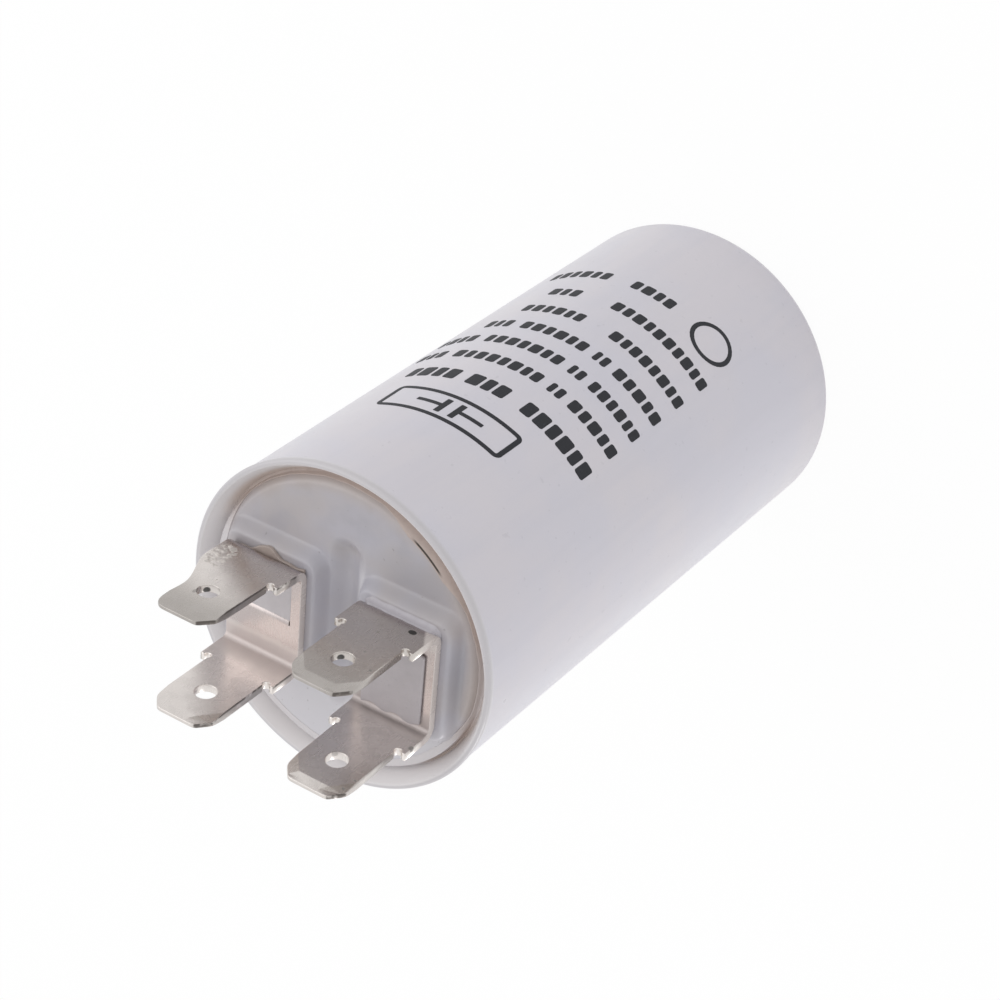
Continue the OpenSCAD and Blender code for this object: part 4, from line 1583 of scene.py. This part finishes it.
def floor_white(look):
    """White floor that shows as plain white but keeps a share of the part's shadow."""
    material, s = new_material("floor_white")
    lit = s.add("ShaderNodeBsdfDiffuse", values={"Color": (0.9, 0.9, 0.9)})
    plain = s.add("ShaderNodeEmission", values={"Color": (1, 1, 1), "Strength": 1.0})
    both = s.add("ShaderNodeMixShader", values={0: seen_rays(s) * look.white, 1: lit, 2: plain})
    s.add("ShaderNodeOutputMaterial", values={"Surface": both})
    return material


def add_floor(look):
    """The wide floor under the part."""
    bm = bmesh.new()
    bmesh.ops.create_grid(bm, x_segments=2, y_segments=2, size=look.floor)
    mesh = bpy.data.meshes.new("floor")
    bm.to_mesh(mesh)
    bm.free()
    mesh.materials.append(floor_white(look))
    floor = bpy.data.objects.new("floor", mesh)
    bpy.context.scene.collection.objects.link(floor)


def add_lamp(name, power, size, place, aim):
    """A square soft lamp that points at a place."""
    lamp = bpy.data.objects.new(name, bpy.data.lights.new(name, "AREA"))
    lamp.data.energy = power
    lamp.data.size = size
    lamp.location = place
    lamp.rotation_euler = (Vector(place) - Vector(aim)).to_track_quat("Z", "Y").to_euler()
    bpy.context.scene.collection.objects.link(lamp)


def add_world(look):
    """Even white light, a little weaker as light than as background."""
    world = bpy.data.worlds.new("studio")
    world.use_nodes = True
    s = Sketch(world.node_tree)
    strength = look.fill + (1 - look.fill) * seen_rays(s)
    sky = s.add("ShaderNodeBackground", values={"Color": (1, 1, 1), "Strength": strength})
    s.add("ShaderNodeOutputWorld", values={"Surface": sky})
    bpy.context.scene.world = world


class CAPACITOR_OT_stage(Operator):
    """Set up the camera, the floor, the lamps and the world"""

    bl_idname = "capacitor.stage"
    bl_label = "Stage"

    def execute(self, context):
        look = context.scene.capacitor.stage
        add_camera(look)
        add_floor(look)
        add_world(look)
        over_lid = Vector((0, 0, WEB_Z * MM))
        add_lamp("key", look.key, look.key_size, over_lid + Vector(look.key_place), over_lid)
        add_lamp("side", look.side, look.side_size, over_lid + Vector(look.side_place), over_lid / 2)
        context.scene.view_settings.view_transform = "Standard"
        return {"FINISHED"}


# Registration

LOOKS = {
    "can": CanLook, "wall_print": PrintLook, "lid": LidLook, "seal": SealLook,
    "terminals": TerminalLook, "resin": ResinLook, "stage": StageLook,
}
OPERATORS = (
    CAPACITOR_OT_can, CAPACITOR_OT_wall_print, CAPACITOR_OT_lid, CAPACITOR_OT_seal,
    CAPACITOR_OT_terminals, CAPACITOR_OT_resin, CAPACITOR_OT_inside, CAPACITOR_OT_stage,
)


class CapacitorLook(PropertyGroup):
    """All settings of the part."""

    can: PointerProperty(type=CanLook, name="Can")
    wall_print: PointerProperty(type=PrintLook, name="Wall print")
    lid: PointerProperty(type=LidLook, name="Lid")
    seal: PointerProperty(type=SealLook, name="Seal")
    terminals: PointerProperty(type=TerminalLook, name="Terminals")
    resin: PointerProperty(type=ResinLook, name="Resin")
    stage: PointerProperty(type=StageLook, name="Stage")


class CAPACITOR_PT_looks(Panel):
    """Settings and pieces of the capacitor"""

    bl_idname = "CAPACITOR_PT_looks"
    bl_label = "Capacitor"
    bl_space_type = "VIEW_3D"
    bl_region_type = "UI"
    bl_category = "Capacitor"

    def draw(self, context):
        for operator in OPERATORS:
            self.layout.operator(operator.bl_idname)
        for group in LOOKS:
            box = self.layout.box()
            box.label(text=group.replace("_", " ").capitalize())
            for setting in LOOKS[group].__annotations__:
                box.prop(getattr(context.scene.capacitor, group), setting)


CLASSES = (*LOOKS.values(), CapacitorLook, *OPERATORS, CAPACITOR_PT_looks)


def register():
    """Makes the settings, operators and panel known."""
    for cls in CLASSES:
        bpy.utils.register_class(cls)
    bpy.types.Scene.capacitor = PointerProperty(type=CapacitorLook)


def unregister():
    """Takes them out again."""
    del bpy.types.Scene.capacitor
    for cls in reversed(CLASSES):
        bpy.utils.unregister_class(cls)


def main():
    """Builds the stage and all pieces."""
    register()
    bpy.ops.capacitor.stage()
    bpy.ops.capacitor.can()
    bpy.ops.capacitor.wall_print()
    bpy.ops.capacitor.lid()
    bpy.ops.capacitor.seal()
    bpy.ops.capacitor.terminals()
    bpy.ops.capacitor.resin()
    bpy.ops.capacitor.inside()


if __name__ == "__main__":
    main()
